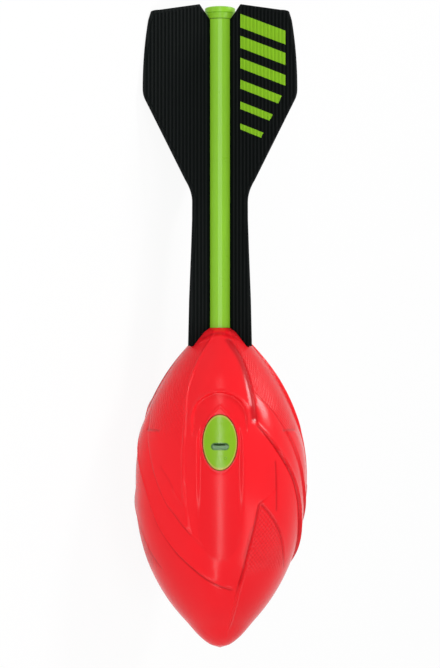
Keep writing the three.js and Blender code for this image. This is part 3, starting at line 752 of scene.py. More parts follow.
def petal(skin, edges):
    """The nose petal, raised along its left side and dying out to the right, with its leaf let in."""
    head = skin.head
    across = edges.petal / PETAL_SWEEP
    top = mix(1, PETAL_SHOULDER_SHARE, skin.fade("petal_shoulder")) * (1 - skin.fade("petal_end"))
    height = mix(head.petal_height, head.faint_height, np.clip(across, 0, 1)) * skin.fade("petal_rise") * top
    let_in = head.leaf_depth * skin.fade("leaf_sink") * leaf_side(skin, edges)
    return (height - let_in) * (1 - smooth(across, *PETAL_FADE_SHARES)) * skin.side(edges.petal)


def leaf_side(skin, edges):
    """Where the textured leaf shows on a petal."""
    foot_share, tip_share = LEAF_RIGHT_SHARES[0][0], LEAF_RIGHT_SHARES[-1][0]
    ends = smooth(skin.shares, foot_share, foot_share + LEAF_START_SHARE) * (skin.shares < tip_share)
    return skin.side(edges.petal) * skin.side(-edges.leaf) * ends


def sideways(skin):
    """Metres from the plane through the axis and the whistle's middle, growing on round the far side."""
    turn = np.abs(skin.angles)
    aside = skin.radii * np.sin(np.radians(np.minimum(turn, QUARTER)))
    return aside + skin.head.belly_radius * np.maximum(turn / QUARTER - 1, 0)


def channel_fields(skin):
    """Fields that are positive inside the channel's straight part and inside its round tail end."""
    head = skin.head
    along = (skin.shares - head.channel_foot_share) / (head.arch_share - head.channel_foot_share)
    half = head.channel_half_width * along_edge(CHANNEL_WIDTH_SHARES, along)
    beyond = np.maximum(-along, 0) * head.foam_length
    ahead = np.maximum(skin.shares - head.arch_share, 0) * head.foam_length
    return half - sideways(skin) - beyond, head.arch_radius - np.hypot(sideways(skin), ahead)


def whistle_fields(skin):
    """Metres outside the rim round a whistle, pointed towards the tail, and outside its oval pocket."""
    head = skin.head
    whistle = whistle_sizes()
    middle = np.interp(whistle.place_share, skin.share, skin.arc)
    lengthwise = (skin.arc - middle)[:, None]
    half_width = whistle.half_width + whistle.clearance
    half_length = whistle.half_length + whistle.clearance
    outer = sideways(skin) / (half_width + head.bezel_gap)
    pointed = outer + (lengthwise / head.bezel_reach) ** 2
    rounded = np.hypot(outer, lengthwise / (half_length + head.bezel_gap))
    pocket = np.hypot(sideways(skin) / half_width, lengthwise / half_length)
    return (np.where(lengthwise > 0, pointed, rounded) - 1) * half_width, (pocket - 1) * half_width


def edge_lines(skin, edges, table, width):
    """The strongest of a table's lines at each place."""
    lines = [
        skin.line(getattr(edges, edge), shift * width, spread * width) * skin.stretch(*run) * strength
        for edge, shift, spread, strength, run in table
    ]
    return np.maximum.reduce(lines)


def panel_lines(skin, edges):
    """The rims along the panels' raised edges and the crease lines beside them, grooves with painted shade, each
    from zero to one.
    """
    head = skin.head
    run = skin.stretch(*PETAL_RUN_SHARES)
    petal_rim = skin.line(edges.petal, head.rim_width, head.rim_width) * run
    petal_crease = skin.line(edges.petal, -head.crease_width, head.crease_width) * run
    rims = np.maximum(
        edge_lines(skin, edges, RIM_SHARES, head.rim_width),
        petal_rim * mix(PETAL_RIM_SHARE, 1, skin.fade("petal_rim")),
    )
    creases_and_shade = np.maximum(
        edge_lines(skin, edges, CREASE_SHARES, head.crease_width), petal_crease * skin.fade("petal_crease"),
    )
    return skin.thrice(rims), skin.thrice(creases_and_shade)


def whistle_channels(skin):
    """Where the whistles' channels lie, with the rims that they add and their painted shade, along the channels'
    sides and in the gap round each pocket.
    """
    head = skin.head
    straight, arch = channel_fields(skin)
    trough = skin.side(straight, head.channel_blur) * (skin.shares < head.arch_share)
    inside = np.maximum(trough, skin.side(arch) * skin.fade("arch_open"))
    bezel, pocket = whistle_fields(skin)
    lip = skin.line(arch, -head.rim_width, head.rim_width * LIP_WIDTH_SHARE) * skin.fade("arch_lip")
    rims = np.maximum(lip * LIP_SHARE, ridge(bezel, head.rim_width))
    # Painted shade along the channel's sides and round the pocket, where the gap is.
    side_line = skin.line(straight, 0, head.crease_width * CHANNEL_LINE_SHARE) * CHANNEL_SHADE_SHARE
    ring = ridge(pocket, head.crease_width) * RING_SHADE_SHARE
    dark = np.maximum(side_line * skin.stretch(*CHANNEL_RUN_SHARES), ring)
    return skin.thrice(inside), skin.thrice(rims), skin.thrice(dark)


def relief(skin):
    """Heights over the skin, with how textured it is and how creased, which sets the painted shade of its crease
    lines and channels.
    """
    head = skin.head
    edges = Edges(skin)
    grip = grip_side(skin, edges)
    cover = hood(skin, edges)
    layers = [swirl_arm(skin, edges), grip * head.grip_height, apron(skin, edges), cover, petal(skin, edges)]
    rims, creases_and_shade = panel_lines(skin, edges)
    inside, channel_rims, channel_shade = whistle_channels(skin)
    heights = mix(skin.thrice(np.maximum.reduce(layers)), head.channel_floor, inside)
    rims = np.maximum(rims * (1 - inside), channel_rims)
    # The channels add painted shade, inside them and along their sides.
    creases_and_shade = np.maximum.reduce([creases_and_shade * (1 - inside), channel_shade, inside * CHANNEL_SHADE_SHARE])
    level = mix(NECK_RELIEF_SHARE, 1, smooth(1 - skin.shares, 0, head.neck_fade / head.foam_length))
    heights = (heights + rims * head.rim_height - creases_and_shade * head.crease_depth) * level
    heights = heights * skin.fade("nose") + end_rounding(skin)
    grips = np.clip(skin.thrice(grip * (1 - cover / head.hood_height)), 0, 1)
    leaves = skin.thrice(leaf_side(skin, edges)) * head.leaf_weave
    return heights, np.maximum(grips, leaves) * (1 - inside), np.clip(creases_and_shade, 0, 1)


def end_rounding(skin):
    """What swells the very tip and rounds off the neck's end."""
    swell = skin.head.tip_swell * skin.fade("tip_start") * (1 - skin.fade("tip_end"))
    return swell - skin.head.neck_round * skin.fade("neck_end") ** 2


def skin_faces(rows, columns):
    """The skin's quads, and the triangles that close its tip and its neck end."""
    tip = rows * columns
    corner = np.arange(tip).reshape(rows, columns)
    ahead = np.roll(corner, -1, axis=1)
    quads = np.stack([corner[:-1], ahead[:-1], ahead[1:], corner[1:]], axis=-1).reshape(-1, 4)
    nose = [(tip, after, here) for here, after in zip(corner[0], ahead[0])]
    lid = [(tip + 1, here, after) for here, after in zip(corner[-1], ahead[-1])]
    return quads.tolist() + nose + lid


def skin_mesh(name):
    """The head as one closed skin, with its map along the surface and, as a second map, its weave and its
    painted shade.
    """
    head = head_sizes()
    skin = HeadSkin(head)
    heights, textured, crease = relief(skin)
    radii = (skin.radii + heights)[1:]
    turn = np.radians(skin.angles)[1:]
    height = skin.shares[1:] * head.foam_length
    places = np.stack([radii * np.sin(turn), -radii * np.cos(turn), height], axis=-1).reshape(-1, 3)
    places = np.concatenate([places, [[0, 0, 0], [0, 0, head.foam_length]]])
    mesh = bpy.data.meshes.new(name)
    mesh.from_pydata(places.tolist(), [], skin_faces(head.rows, head.columns))
    head_maps(mesh, skin, textured, crease)
    piece = bpy.data.objects.new(name, mesh)
    bpy.context.collection.objects.link(piece)
    return piece


def head_maps(mesh, skin, textured, crease):
    """Two maps: metres round and along the skin, and how textured it is with how much painted shade its crease
    lines get.
    """
    rows, columns = skin.head.rows, skin.head.columns
    corners = numbers_of(mesh.loops, "vertex_index")
    row = np.append(np.repeat(np.arange(1, rows + 1), columns), (0, rows))[corners]
    column = np.append(np.tile(np.arange(columns), rows), (0, 0))[corners]
    sizes = numbers_of(mesh.polygons, "loop_total")
    face = np.repeat(np.arange(len(sizes)), sizes)
    farthest = np.zeros(len(sizes), np.int64)
    np.maximum.at(farthest, face, column)
    wrapped = (farthest[face] == columns - 1) & (column == 0) & (corners < rows * columns)
    around = (column + wrapped * columns) / columns * math.tau * skin.head.belly_radius
    write_map(mesh, "Skin", around, skin.arc[row])
    write_map(mesh, "Marks", textured[row, column], crease[row, column])


def flat_map(piece, name, across, along):
    """A map from two of a piece's own coordinates, by their numbers."""
    mesh = piece.data
    places = numbers_of(mesh.vertices, "co", float, 3).reshape(-1, 3)[numbers_of(mesh.loops, "vertex_index")]
    write_map(mesh, name, places[:, across], places[:, along])


def numbers_of(items, name, kind=np.int64, width=1):
    """What all vertices, corners or faces of a mesh say under one name."""
    numbers = np.empty(len(items) * width, kind)
    items.foreach_get(name, numbers)
    return numbers


def write_map(mesh, name, across, along):
    layer = mesh.uv_layers.new(name=name)
    layer.uv.foreach_set("vector", np.stack([across, along], axis=-1).astype(np.float32).ravel())


# Finishes

def operator(operation, swapped=False):
    """One of Value's operators, as a Math node."""
    return lambda value, other: value.maths(operation, other, swapped)


class Value:
    """An output of a node, for arithmetic."""

    def __init__(self, graph, socket):
        self.graph = graph
        self.socket = socket

    __add__ = operator("ADD")
    __radd__ = operator("ADD")
    __sub__ = operator("SUBTRACT")
    __rsub__ = operator("SUBTRACT", swapped=True)
    __mul__ = operator("MULTIPLY")
    __rmul__ = operator("MULTIPLY")
    __truediv__ = operator("DIVIDE")
    __gt__ = operator("GREATER_THAN")
    __lt__ = operator("LESS_THAN")

    def maths(self, operation, other=0, swapped=False):
        sides = (other, self) if swapped else (self, other)
        return self.graph.node("ShaderNodeMath", {"operation": operation}, dict(enumerate(sides)))

    def hypot(self, other):
        return (self * self + other * other).maths("SQRT")

    def output(self, name):
        """Another output of the same node."""
        return Value(self.graph, self.socket.node.outputs[name])


class Graph:
    """Nodes of a material or the surround."""

    def __init__(self, tree):
        self.tree = tree

    def put(self, socket, value):
        if isinstance(value, Value):
            self.tree.links.new(value.socket, socket)
        else:
            socket.default_value = value

    def node(self, kind, settings, sockets, output=0):
        """Any node: its settings first, then the values or links of its sockets, by number or name."""
        made = self.tree.nodes.new(kind)
        for setting, value in settings.items():
            setattr(made, setting, value)
        for socket, value in sockets.items():
            self.put(made.inputs[socket], value)
        return Value(self, made.outputs[output])


class Finish(Graph):
    """A procedural material on one Principled shader, with a mottle in its colour and gloss."""

    def __init__(self, name, look=None):
        self.material = bpy.data.materials.new(name)
        self.material.use_nodes = True
        super().__init__(self.material.node_tree)
        self.look = LOOKS[look or name]
        self.mottle = self.noise(self.look.mottle)
        self.roughness = self.look.roughness
        if self.look.unevenness:
            self.roughness += self.mottle * self.look.unevenness

    def rise(self, value, start, end):
        """Zero up to a start and one from an end, with a smooth step between."""
        sockets = {"Value": value, "From Min": start, "From Max": end}
        return self.node("ShaderNodeMapRange", {"interpolation_type": "SMOOTHSTEP"}, sockets)

    def map_parts(self, name):
        """Both numbers of one of the piece's own maps."""
        read = self.node("ShaderNodeUVMap", {"uv_map": name}, {})
        across = self.node("ShaderNodeSeparateXYZ", {}, {0: read})
        return across, across.output("Y")

    def noise(self, name):
        scale, detail = NOISES[name]
        place = self.node("ShaderNodeTexCoord", {}, {}, "Object")
        return self.node("ShaderNodeTexNoise", {}, {"Vector": place, "Scale": scale, "Detail": detail}, "Fac")

    def tint(self, share, start, end):
        """A colour between two, by a share."""
        start, end = (shade if isinstance(shade, Value) else (*shade, 1) for shade in (start, end))
        first, second, mixed = 6, 7, 2  # a Mix node's sockets for colours
        sockets = {"Factor": share, first: start, second: end}
        return self.node("ShaderNodeMix", {"data_type": "RGBA"}, sockets, mixed)

    def mottled(self, shade):
        """A colour that the mottle darkens here and there."""
        return self.tint(self.mottle, [part * self.look.darkest for part in shade], shade)

    def surface(self, shade, height, metres):
        """Ends a finish with its colour and its small relief, from zero to one over so many metres."""
        sockets = {"Height": height, "Distance": metres, "Strength": 1}
        normal = self.node("ShaderNodeBump", {}, sockets, "Normal")
        return self.feed({"Base Color": shade, "Normal": normal})

    def feed(self, sockets):
        """Feeds the shader's sockets, with the look's roughness, refraction and sheen."""
        sockets["Roughness"] = self.roughness
        sockets["IOR"] = self.look.refraction
        sockets["Specular IOR Level"] = self.look.sheen
        for name, value in sockets.items():
            self.put(self.tree.nodes["Principled BSDF"].inputs[name], value)
        return self.material


def foam_finish():
    """Moulded foam: a satin skin with fine pores, woven grips with painted shade in the weave's valleys, and
    painted shade in the lines between panels.
    """
    head = head_sizes()
    colours = toy_colours()
    finish = Finish("Foam skin")
    around, lengthwise = finish.map_parts("Skin")
    textured, crease = finish.map_parts("Marks")
    turns = math.tau / head.weave_pitch
    weave = ((around * turns).maths("SINE") * (lengthwise * turns).maths("SINE") + 1) / 2
    # Painted shade in the weave's valleys.
    valley_shade = (1 - weave) * textured * WEAVE_SHADE_SHARE
    # Painted shade in the crease lines and the weave's valleys darkens the foam's colour.
    shade = finish.tint(crease.maths("MAXIMUM", valley_shade), finish.mottled(colours.foam), colours.foam_crease_shade)
    finish.roughness += textured * WEAVE_ROUGH_SHARE
    height = weave * textured + finish.noise("foam pores") * PORE_SHARE + finish.mottle * FOAM_MOTTLE_SHARE
    return finish.surface(shade, height, head.weave_depth)


def plastic_finish(name, shade):
    """Moulded plastic: a slight mottle in colour and gloss and a faint wavy skin."""
    finish = Finish(name)
    height = finish.noise("plastic grain") * GRAIN_SHARE + finish.mottle
    return finish.surface(finish.mottled(shade), height, tail_sizes().plastic_relief)


def cap_finish():
    """Whistle plastic: a pale line along the rim as a painted reflection, painted shade round the slot and on
    its floor, and a small moulding mark with painted shade in its ring.
    """
    colours = toy_colours()
    whistle = whistle_sizes()
    finish = Finish("Whistle plastic")
    across, along = finish.map_parts("Face")
    edge = (across / whistle.half_width).hypot(along / whistle.half_length)
    # Painted reflection along the rim.
    line = finish.rise(edge, *CAP_REFLECTION_SHARES) * CAP_REFLECTION_SHARE
    shade = finish.tint(line, finish.mottled(colours.whistle), colours.whistle_edge_reflection)
    # Painted shade round the slot and on its floor.
    radius = whistle.slot_height / 2
    beside = (across.maths("ABSOLUTE") - (whistle.slot_width / 2 - radius)).maths("MAXIMUM", 0)
    outside = beside.hypot(along + whistle.slot_shift) - radius
    near = 1 - finish.rise(outside, whistle.slot_line / 3, whistle.slot_line)
    shade = finish.tint(near, shade, colours.whistle_painted_shade)
    shade = finish.tint(outside < -whistle.slot_line / 2, shade, colours.whistle_floor_shade)
    # Painted shade in the moulding mark's ring, a small dent.
    mark = (across - whistle.mark_aside).hypot(along + whistle.mark_below) - whistle.mark_radius
    ring = 1 - finish.rise(mark.maths("ABSOLUTE"), 0, whistle.slot_line / 2)
    shade = finish.tint(ring * MARK_SHARE, shade, colours.whistle_painted_shade)
    height = finish.mottle + finish.noise("cap swirl") * SWIRL_SHARE - ring
    return finish.surface(shade, height, whistle.cap_relief)


def fin_finish(name, printed):
    """Matte black sheet with painted light on its ribs' crests and painted shade between them, with slanted bars
    on one face where it is printed.
    """
    colours = toy_colours()
    tail = tail_sizes()
    finish = Finish(name, "Fin sheet")
    radius, height = finish.map_parts("Blade")
    wave = ((radius - tail.rib_start) * (math.tau / tail.rib_pitch)).maths("COSINE")
    # Painted light on the ribs' crests and painted shade between them, which dims the print too.
    crest = (wave + 1) / 2 * finish.rise(radius, tail.rib_start - tail.rib_pitch / 2, tail.rib_start)
    shade = finish.tint(crest * mix(CREST_SHARE, 1, finish.mottle), colours.fin_valley_shade, colours.fin_crest_light)
    if printed:
        bars = printed_bars(finish, radius, height) * mix(PRINT_SHARE, 1, crest)
        shade = finish.tint(bars, shade, colours.fin_print)
    return finish.surface(shade, finish.noise("fin grain"), tail.fin_relief)


def printed_bars(finish, radius, height):
    """Slanted bars, each thinner than the last, on the fin's face that lies towards the reader."""
    tail = tail_sizes()
    below_top = tail_places().fin_top - height
    face, _ = finish.map_parts("Side")
    turns = (below_top - radius * tail.bar_slant) / tail.bar_pitch
    bars = turns.maths("FRACT") < tail.bar_share - turns.maths("FLOOR") * tail.bar_thinning
    outer = radius < tail.bar_outer - (below_top - tail.bar_turn).maths("MAXIMUM", 0) * tail.bar_taper
    return bars * (radius > tail.bar_inner) * outer * (turns > 0) * (turns < tail.bars) * (face > 0)


def wear(piece, material):
    piece.data.materials.clear()
    piece.data.materials.append(material)


def wear_node(name, material):
    """Gives a node of the frame its finish."""
    for slot in frame["nodes"][name].material_slots:
        slot.material = material


# Foam head

def bore_cutter():
    """The room for the shaft and its anchor inside the head, with a gap at both ends and one between them."""
    head = head_sizes()
    tail = tail_sizes()
    whistle = whistle_sizes()
    gap = whistle.clearance
    wide, narrow = tail.anchor_radius + gap, tail.shaft_radius + gap
    step = head.foam_length - tail.shaft_sink + gap
    foot = step - tail.anchor_thickness - gap * 3
    profile = [(wide, foot), (wide, step), (narrow, step), (narrow, head.foam_length + whistle.overrun)]
    return turned("bore_cutter", profile, segments=72)


def pocket_cutters():
    """The oval pockets of the three whistles."""
    whistle = whistle_sizes()
    gap = whistle.clearance
    foot = -(whistle.cap_thickness + whistle.cup_depth + gap * 2)
    cutter = rod("pocket_cutter", 1, foot, whistle.dome_height + whistle.overrun, segments=128)
    stretch = Matrix.Diagonal((whistle.half_width + gap, whistle.half_length + gap, 1, 1))
    return thirds(cutter, whistle_seat() @ stretch)


def slot_cutters():
    """The slots in the neck that take the fins' feet."""
    head = head_sizes()
    tail = tail_sizes()
    whistle = whistle_sizes()
    half = tail.web_thickness / 2 + tail.rib_height + whistle.clearance
    outline = rectangle(half, -tail.fin_tip_radius / 2, -tail.rail_place)
    foot = tail_places().fin_foot - whistle.clearance
    cutter = traced("slot_cutter", outline, foot, head.foam_length + whistle.overrun)
    return thirds(cutter, Matrix(), SECTOR / 2)


class VORTEX_OT_foam_head(bpy.types.Operator):
    """Model the foam head with its swirl relief, whistle pockets and bore"""
    bl_idname = "vortex.foam_head"
    bl_label = "Foam Head"

    def execute(self, context):
        foam = skin_mesh("foam_head")
        for cutter in (bore_cutter(), pocket_cutters(), slot_cutters()):
            combine(foam, cutter, "DIFFERENCE")
        smoothed(foam, angle=50)
        wear(foam, foam_finish())
        finished(foam, Matrix(), "foam_body")
        return {"FINISHED"}


# Whistles

def cap_profile():
    """The oval cap's profile from foot to crown, with radii as shares of its half sizes."""
    whistle = whistle_sizes()
    edge_share = whistle.cap_edge / whistle.half_width
    rise = whistle.dome_height * (1 - (1 - edge_share) ** 2) + whistle.cap_edge
    edge = arc((1 - edge_share, -whistle.cap_edge), (edge_share, rise), 0, QUARTER_TURN, steps=4)
    dome_steps = 14
    shares = [(1 - edge_share) * i / dome_steps for i in range(dome_steps - 1, 0, -1)]
    dome = [(share, whistle.dome_height * (1 - share ** 2)) for share in shares]
    return [(1, -whistle.cap_thickness), *edge, *dome]


def slot_cutter(foot, share):
    """A round-ended cutter down to a foot, for the cap's slot or, at a share of its width, its slit."""
    whistle = whistle_sizes()
    radius = whistle.slot_height / 2
    reach = whistle.slot_width / 2 - radius
    outline = []
    for side in (1, -1):
        radii = (side * radius * share, radius * share)
        outline += arc((side * reach, 0), radii, -side * QUARTER_TURN, side * QUARTER_TURN, steps=12)
    cutter = traced("slot_cutter", outline, foot, whistle.dome_height + whistle.overrun)
    aside = radius * (1 - share) * SLIT_ASIDE_SHARE
    cutter.data.transform(Matrix.Translation((0, aside - whistle.slot_shift, 0)))
    return cutter


class VORTEX_OT_whistles(bpy.types.Operator):
    """Model the three slotted oval caps and finish the cups below them"""
    bl_idname = "vortex.whistles"
    bl_label = "Whistles"

    def execute(self, context):
        whistle = whistle_sizes()
        cap = turned("whistle_cap", cap_profile(), segments=128)
        cap.data.transform(Matrix.Diagonal((whistle.half_width, whistle.half_length, 1, 1)))
        combine(cap, slot_cutter(whistle.dome_height - whistle.slot_depth, 1), "DIFFERENCE")
        combine(cap, slot_cutter(-whistle.cap_thickness - whistle.overrun, whistle.slit_share), "DIFFERENCE")
        smoothed(cap, angle=35)
        flat_map(cap, "Face", across=0, along=1)
        wear(cap, cap_finish())
        cup_material = plastic_finish("Cup plastic", toy_colours().cup)
        for side, angle in {"front": 0, "rear": SECTOR, "under": -SECTOR}.items():
            piece = copied(cap, f"whistle_oval_{side}")
            finished(piece, about_axis(angle) @ whistle_seat(), f"whistle_cap_{side}")
            wear_node(f"whistle_cup_{side}", cup_material)
        bpy.data.objects.remove(cap)
        return {"FINISHED"}


# Tail

def tail_places():
    """Heights of the tail's pieces above the nose tip."""
    head = head_sizes()
    tail = tail_sizes()
    at = SimpleNamespace()
    at.fin_foot = head.foam_length - tail.fin_sink
    at.shaft_foot = head.foam_length - tail.shaft_sink
    at.fin_top = head.foam_length + tail.tail_length
    at.cap_end = at.fin_top - tail.cap_inset
    at.flange = at.cap_end - tail.flange_height
    at.cone = at.flange - tail.cone_height
    at.shaft_top = at.cone - whistle_sizes().clearance
    return at


def rail_section():
    """The keyhole of one rail, towards -Y: a round room for the fin's bead and a mouth for its web."""
    tail = tail_sizes()
    gap = whistle_sizes().clearance
    radius = tail.bead_radius + gap
    half = tail.web_thickness / 2 + gap
    first = math.asin(half / radius)
    beyond = -tail.shaft_radius - gap
    start, end = -QUARTER_TURN - first, first - QUARTER_TURN * 5
    room = arc((0, -tail.rail_place), (radius, radius), start, end, steps=20)
    return [(half, beyond), (-half, beyond), *room]


def flat_section():
    """What the narrow flat towards -Y takes off the rod."""
    tail = tail_sizes()
    chord = math.sqrt(tail.shaft_radius ** 2 - (tail.shaft_flat / 2) ** 2)
    return rectangle(tail.shaft_flat, -tail.shaft_radius - whistle_sizes().clearance, -chord)


def cap_end_profile():
    """The end cap's profile: a stem, a cone, a flange with a fine groove under it, and a rounded end."""
    tail = tail_sizes()
    at = tail_places()
    stem_radius = tail.bore_radius - whistle_sizes().clearance
    rim = tail.flange_radius
    groove = tail.flange_crown / 4
    crown_middle = (tail.flange_face_radius, at.cap_end - tail.flange_crown)
    crown_radii = (rim - tail.flange_face_radius, tail.flange_crown)
    return [
        (stem_radius, at.cone - tail.stem_length), (stem_radius, at.cone), (tail.shaft_radius, at.cone),
        (rim - groove, at.flange - groove), (rim - groove * 2, at.flange - groove / 2),
        (rim - groove * 2, at.flange), (rim - groove, at.flange + groove / 2), (rim, at.flange + groove),
        *arc(crown_middle, crown_radii, 0, QUARTER_TURN, steps=8),
    ]


class VORTEX_OT_tail(bpy.types.Operator):
    """Model the railed shaft and the tail cap, and finish the anchor inside the foam"""
    bl_idname = "vortex.tail"
    bl_label = "Tail Shaft and Cap"

    def execute(self, context):
        tail = tail_sizes()
        at = tail_places()
        overrun = whistle_sizes().overrun
        ends = (at.shaft_foot - overrun, at.shaft_top + overrun)
        shaft = rod("rail_shaft", tail.shaft_radius, at.shaft_foot, at.shaft_top, segments=144)
        rails = thirds(traced("rail_cutter", rail_section(), *ends), Matrix(), SECTOR / 2)
        flats = thirds(traced("flat_cutter", flat_section(), *ends), Matrix())
        for cutter in (rails, flats, rod("bore_cutter", tail.bore_radius, *ends, segments=32)):
            combine(shaft, cutter, "DIFFERENCE")
        smoothed(shaft, angle=6)
        cap = turned("end_cap", cap_end_profile(), segments=96)
        smoothed(cap, angle=35)
        material = plastic_finish("Shaft plastic", toy_colours().shaft)
        for piece, node in ((shaft, "tail_shaft"), (cap, "tail_cap")):
            wear(piece, material)
            finished(piece, Matrix(), node)
        wear_node("shaft_anchor", material)
        return {"FINISHED"}


# Fins, drawn with the radius along X and the height along Y

def fin_outline(inset):
    """Outline of a fin. The inset draws it smaller, for the ribbed field inside the plain rim."""
    tail = tail_sizes()
    at = tail_places()

    def place(radius_share, height_share, drop):
        height = mix(at.fin_foot, at.fin_top, height_share)
        return tail.fin_tip_radius * radius_share - inset, height - drop

    root = tail.rib_start - tail.rib_pitch / 2 if inset > 0 else tail.rail_place
    points = [(root, at.fin_foot + inset), place(FIN_FOOT_SHARE, 0, -inset)]
    for steps, *bend, end in FIN_EDGE_SHARES:
        drop = inset if end[1] > FIN_SHOULDER_SHARE else 0
        towards = bend[0] if bend else end
        points += curve(points[-1], place(*towards, drop), place(*end, drop), steps)
    points.append((tail.flange_radius + tail.corner_inset + inset / 2, at.fin_top - inset))
    if inset > 0:
        return points + [(root, at.shaft_top - inset)]
    return points + [(tail.shaft_radius, at.shaft_top), (tail.rail_place, at.shaft_top)]


def rib_comb():
    """The section of a whole ribbed web, in radius and thickness, with rounded ribs on both faces."""
    tail = tail_sizes()
    number = int((tail.fin_tip_radius - tail.fin_rim - tail.rib_start) / tail.rib_pitch)
    root = tail.web_thickness / 4
    crest = tail.web_thickness / 2 + tail.rib_height
    upper = []
    for i in range(number + 1):
        middle = tail.rib_start + tail.rib_pitch * i
        upper += [(middle + tail.rib_pitch * across, mix(root, crest, up)) for across, up in RIB_SHARES]
    return upper + [(x, -y) for x, y in reversed(upper)]


def fin_solid():
    """One fin about the plane of radius and height: web, ribs and root bead."""
    tail = tail_sizes()
    at = tail_places()
    half = tail.web_thickness / 2
    reach = tail.web_thickness + tail.rib_height
    laid = Matrix.Rotation(-QUARTER_TURN, 4, "X")
    web = traced("fin_web", fin_outline(0), -half, half)
    applied(web, "BEVEL", width=tail.web_thickness / 8, segments=2, angle_limit=math.radians(60))
    ribs = traced("fin_ribs", rib_comb(), at.fin_foot, at.fin_top)
    ribs.data.transform(laid)
    combine(ribs, traced("fin_field", fin_outline(tail.fin_rim), -reach, reach), "INTERSECT")
    combine(web, ribs, "UNION")
    bead = rod("fin_bead", tail.bead_radius, at.fin_foot, at.shaft_top, segments=24)
    bead.data.transform(Matrix.Translation((tail.rail_place, 0, 0)) @ laid)
    combine(web, bead, "UNION")
    return web


class VORTEX_OT_fins(bpy.types.Operator):
    """Model the three ribbed fins on the shaft's rails"""
    bl_idname = "vortex.fins"
    bl_label = "Fins"

    def execute(self, context):
        solid = fin_solid()
        smoothed(solid, angle=25)
        flat_map(solid, "Blade", across=0, along=1)
        flat_map(solid, "Side", across=2, along=2)
        plain_sheet = fin_finish("Fin sheet", printed=False)
        printed_sheet = fin_finish("Printed fin sheet", printed=True)
        fins = {
            "upper": (SECTOR / 2, printed_sheet), "front": (-SECTOR / 2, plain_sheet),
            "rear": (SECTOR / 2 + SECTOR, plain_sheet),
        }
        for side, (angle, sheet) in fins.items():
            piece = copied(solid, f"ribbed_fin_{side}")
            wear(piece, sheet)
            upright = about_axis(angle - QUARTER) @ Matrix.Rotation(QUARTER_TURN, 4, "X")
            finished(piece, upright, f"fin_{side}")
        bpy.data.objects.remove(solid)
        return {"FINISHED"}


# Studio

def studio_lamp(settings, name, place, target, along):
    """An area lamp that faces a target, with its long side in a given direction."""
    bpy.ops.object.light_add(type="AREA", location=place)
    lamp = bpy.context.active_object
    lamp.name = f"{name}_lamp"
    lamp.data.shape = "RECTANGLE"
    lamp.data.size, lamp.data.size_y = getattr(settings, f"{name}_size")
    lamp.data.energy = getattr(settings, f"{name}_power")
    facing = (place - target).normalized()
    up = (along - facing * along.dot(facing)).normalized()
    lamp.rotation_euler = Matrix((up.cross(facing), up, facing)).transposed().to_euler()
    lamp.visible_camera = False


def pale_share(graph):
    """One on rays that see the background straight, in a mirror or through glass."""
    camera = graph.node("ShaderNodeLightPath", {}, {}, "Is Camera Ray")
    reflected = camera.maths("MAXIMUM", camera.output("Is Glossy Ray"))
    return reflected.maths("MAXIMUM", camera.output("Is Transmission Ray"))


def floor_finish(whiteness):
    """A pale floor that keeps the toy's shadow and looks nearly white."""
    finish = Finish("Studio floor")
    finish.feed({"Base Color": finish.mottled(toy_colours().floor)})
    glow = finish.node("ShaderNodeEmission", {}, {"Color": (1, 1, 1, 1), "Strength": 1})
    lit = Value(finish, finish.tree.nodes["Principled BSDF"].outputs[0])
    mixed = finish.node("ShaderNodeMixShader", {}, {0: pale_share(finish) * whiteness, 1: lit, 2: glow})
    finish.put(finish.tree.nodes["Material Output"].inputs["Surface"], mixed)
    return finish.material


def white_world(strength):
    """A plain surround: white where it is seen, softer as a light."""
    world = bpy.data.worlds.new("Studio surround")
    world.use_nodes = True
    bpy.context.scene.world = world
    background = world.node_tree.nodes["Background"]
    background.inputs["Color"].default_value = (1, 1, 1, 1)
    graph = Graph(world.node_tree)
    graph.put(background.inputs["Strength"], mix(strength, 1, pale_share(graph)))


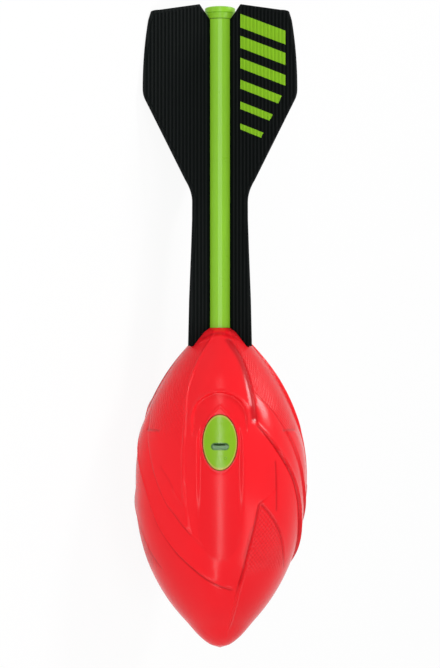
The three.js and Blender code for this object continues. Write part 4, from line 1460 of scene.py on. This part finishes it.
class VORTEX_OT_stage(bpy.types.Operator):
    """Set up the camera, lamps, floor and surround"""
    bl_idname = "vortex.stage"
    bl_label = "Studio"

    def execute(self, context):
        settings = context.scene.vortex_stage
        axes = toy_axes()
        target = axes @ Vector((0, 0, settings.view_place))
        turn = axes.to_3x3()
        across, inwards, tailwards = turn.col
        pick()
        bpy.ops.object.camera_add(location=target - inwards * settings.camera_distance)
        camera = bpy.context.active_object
        camera.name = "studio_camera"
        camera.rotation_euler = Matrix((across, tailwards, -inwards)).transposed().to_euler()
        camera.data.sensor_width = settings.sensor
        camera.data.lens = settings.sensor * settings.camera_distance / settings.view_height
        context.scene.camera = camera
        studio_lamp(settings, "strip", target + turn @ Vector(settings.strip_place), target, tailwards)
        studio_lamp(settings, "key", target + Vector(settings.key_place), target, tailwards)
        studio_lamp(settings, "side", target + turn @ Vector(settings.side_place), target, tailwards)
        bpy.ops.mesh.primitive_plane_add(size=settings.floor_size, location=(0, 0, min(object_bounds()[0].z, 0)))
        floor = named("studio_floor")
        wear(floor, floor_finish(settings.floor_whiteness))
        floor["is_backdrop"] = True
        white_world(settings.world_strength)
        context.scene.view_settings.view_transform = "Standard"
        return {"FINISHED"}


class VORTEX_PT_toy(bpy.types.Panel):
    """Lists the toy's pieces"""
    bl_idname = "VORTEX_PT_toy"
    bl_label = "Vortex Toy"
    bl_space_type = "VIEW_3D"
    bl_region_type = "UI"
    bl_category = "Vortex Toy"

    def draw(self, context):
        column = self.layout.column()
        for operator_class in OPERATORS:
            column.operator(operator_class.bl_idname)


OPERATORS = (
    VORTEX_OT_foam_head, VORTEX_OT_whistles, VORTEX_OT_tail, VORTEX_OT_fins, VORTEX_OT_stage,
)
GROUPS = {
    "vortex_head": VortexHeadSizes, "vortex_whistle": VortexWhistleSizes, "vortex_tail": VortexTailSizes,
    "vortex_colours": VortexColours, "vortex_stage": VortexStageSettings,
}


def register():
    for group in GROUPS.values():
        bpy.utils.register_class(group)
    for name, group in GROUPS.items():
        setattr(bpy.types.Scene, name, bpy.props.PointerProperty(type=group))
    for kind in (*OPERATORS, VORTEX_PT_toy):
        bpy.utils.register_class(kind)


def unregister():
    for kind in (VORTEX_PT_toy, *reversed(OPERATORS)):
        bpy.utils.unregister_class(kind)
    for name in GROUPS:
        delattr(bpy.types.Scene, name)
    for group in reversed(GROUPS.values()):
        bpy.utils.unregister_class(group)


def main():
    register()
    bpy.ops.vortex.foam_head()
    bpy.ops.vortex.whistles()
    bpy.ops.vortex.tail()
    bpy.ops.vortex.fins()
    bpy.ops.vortex.stage()


if __name__ == "__main__":
    main()
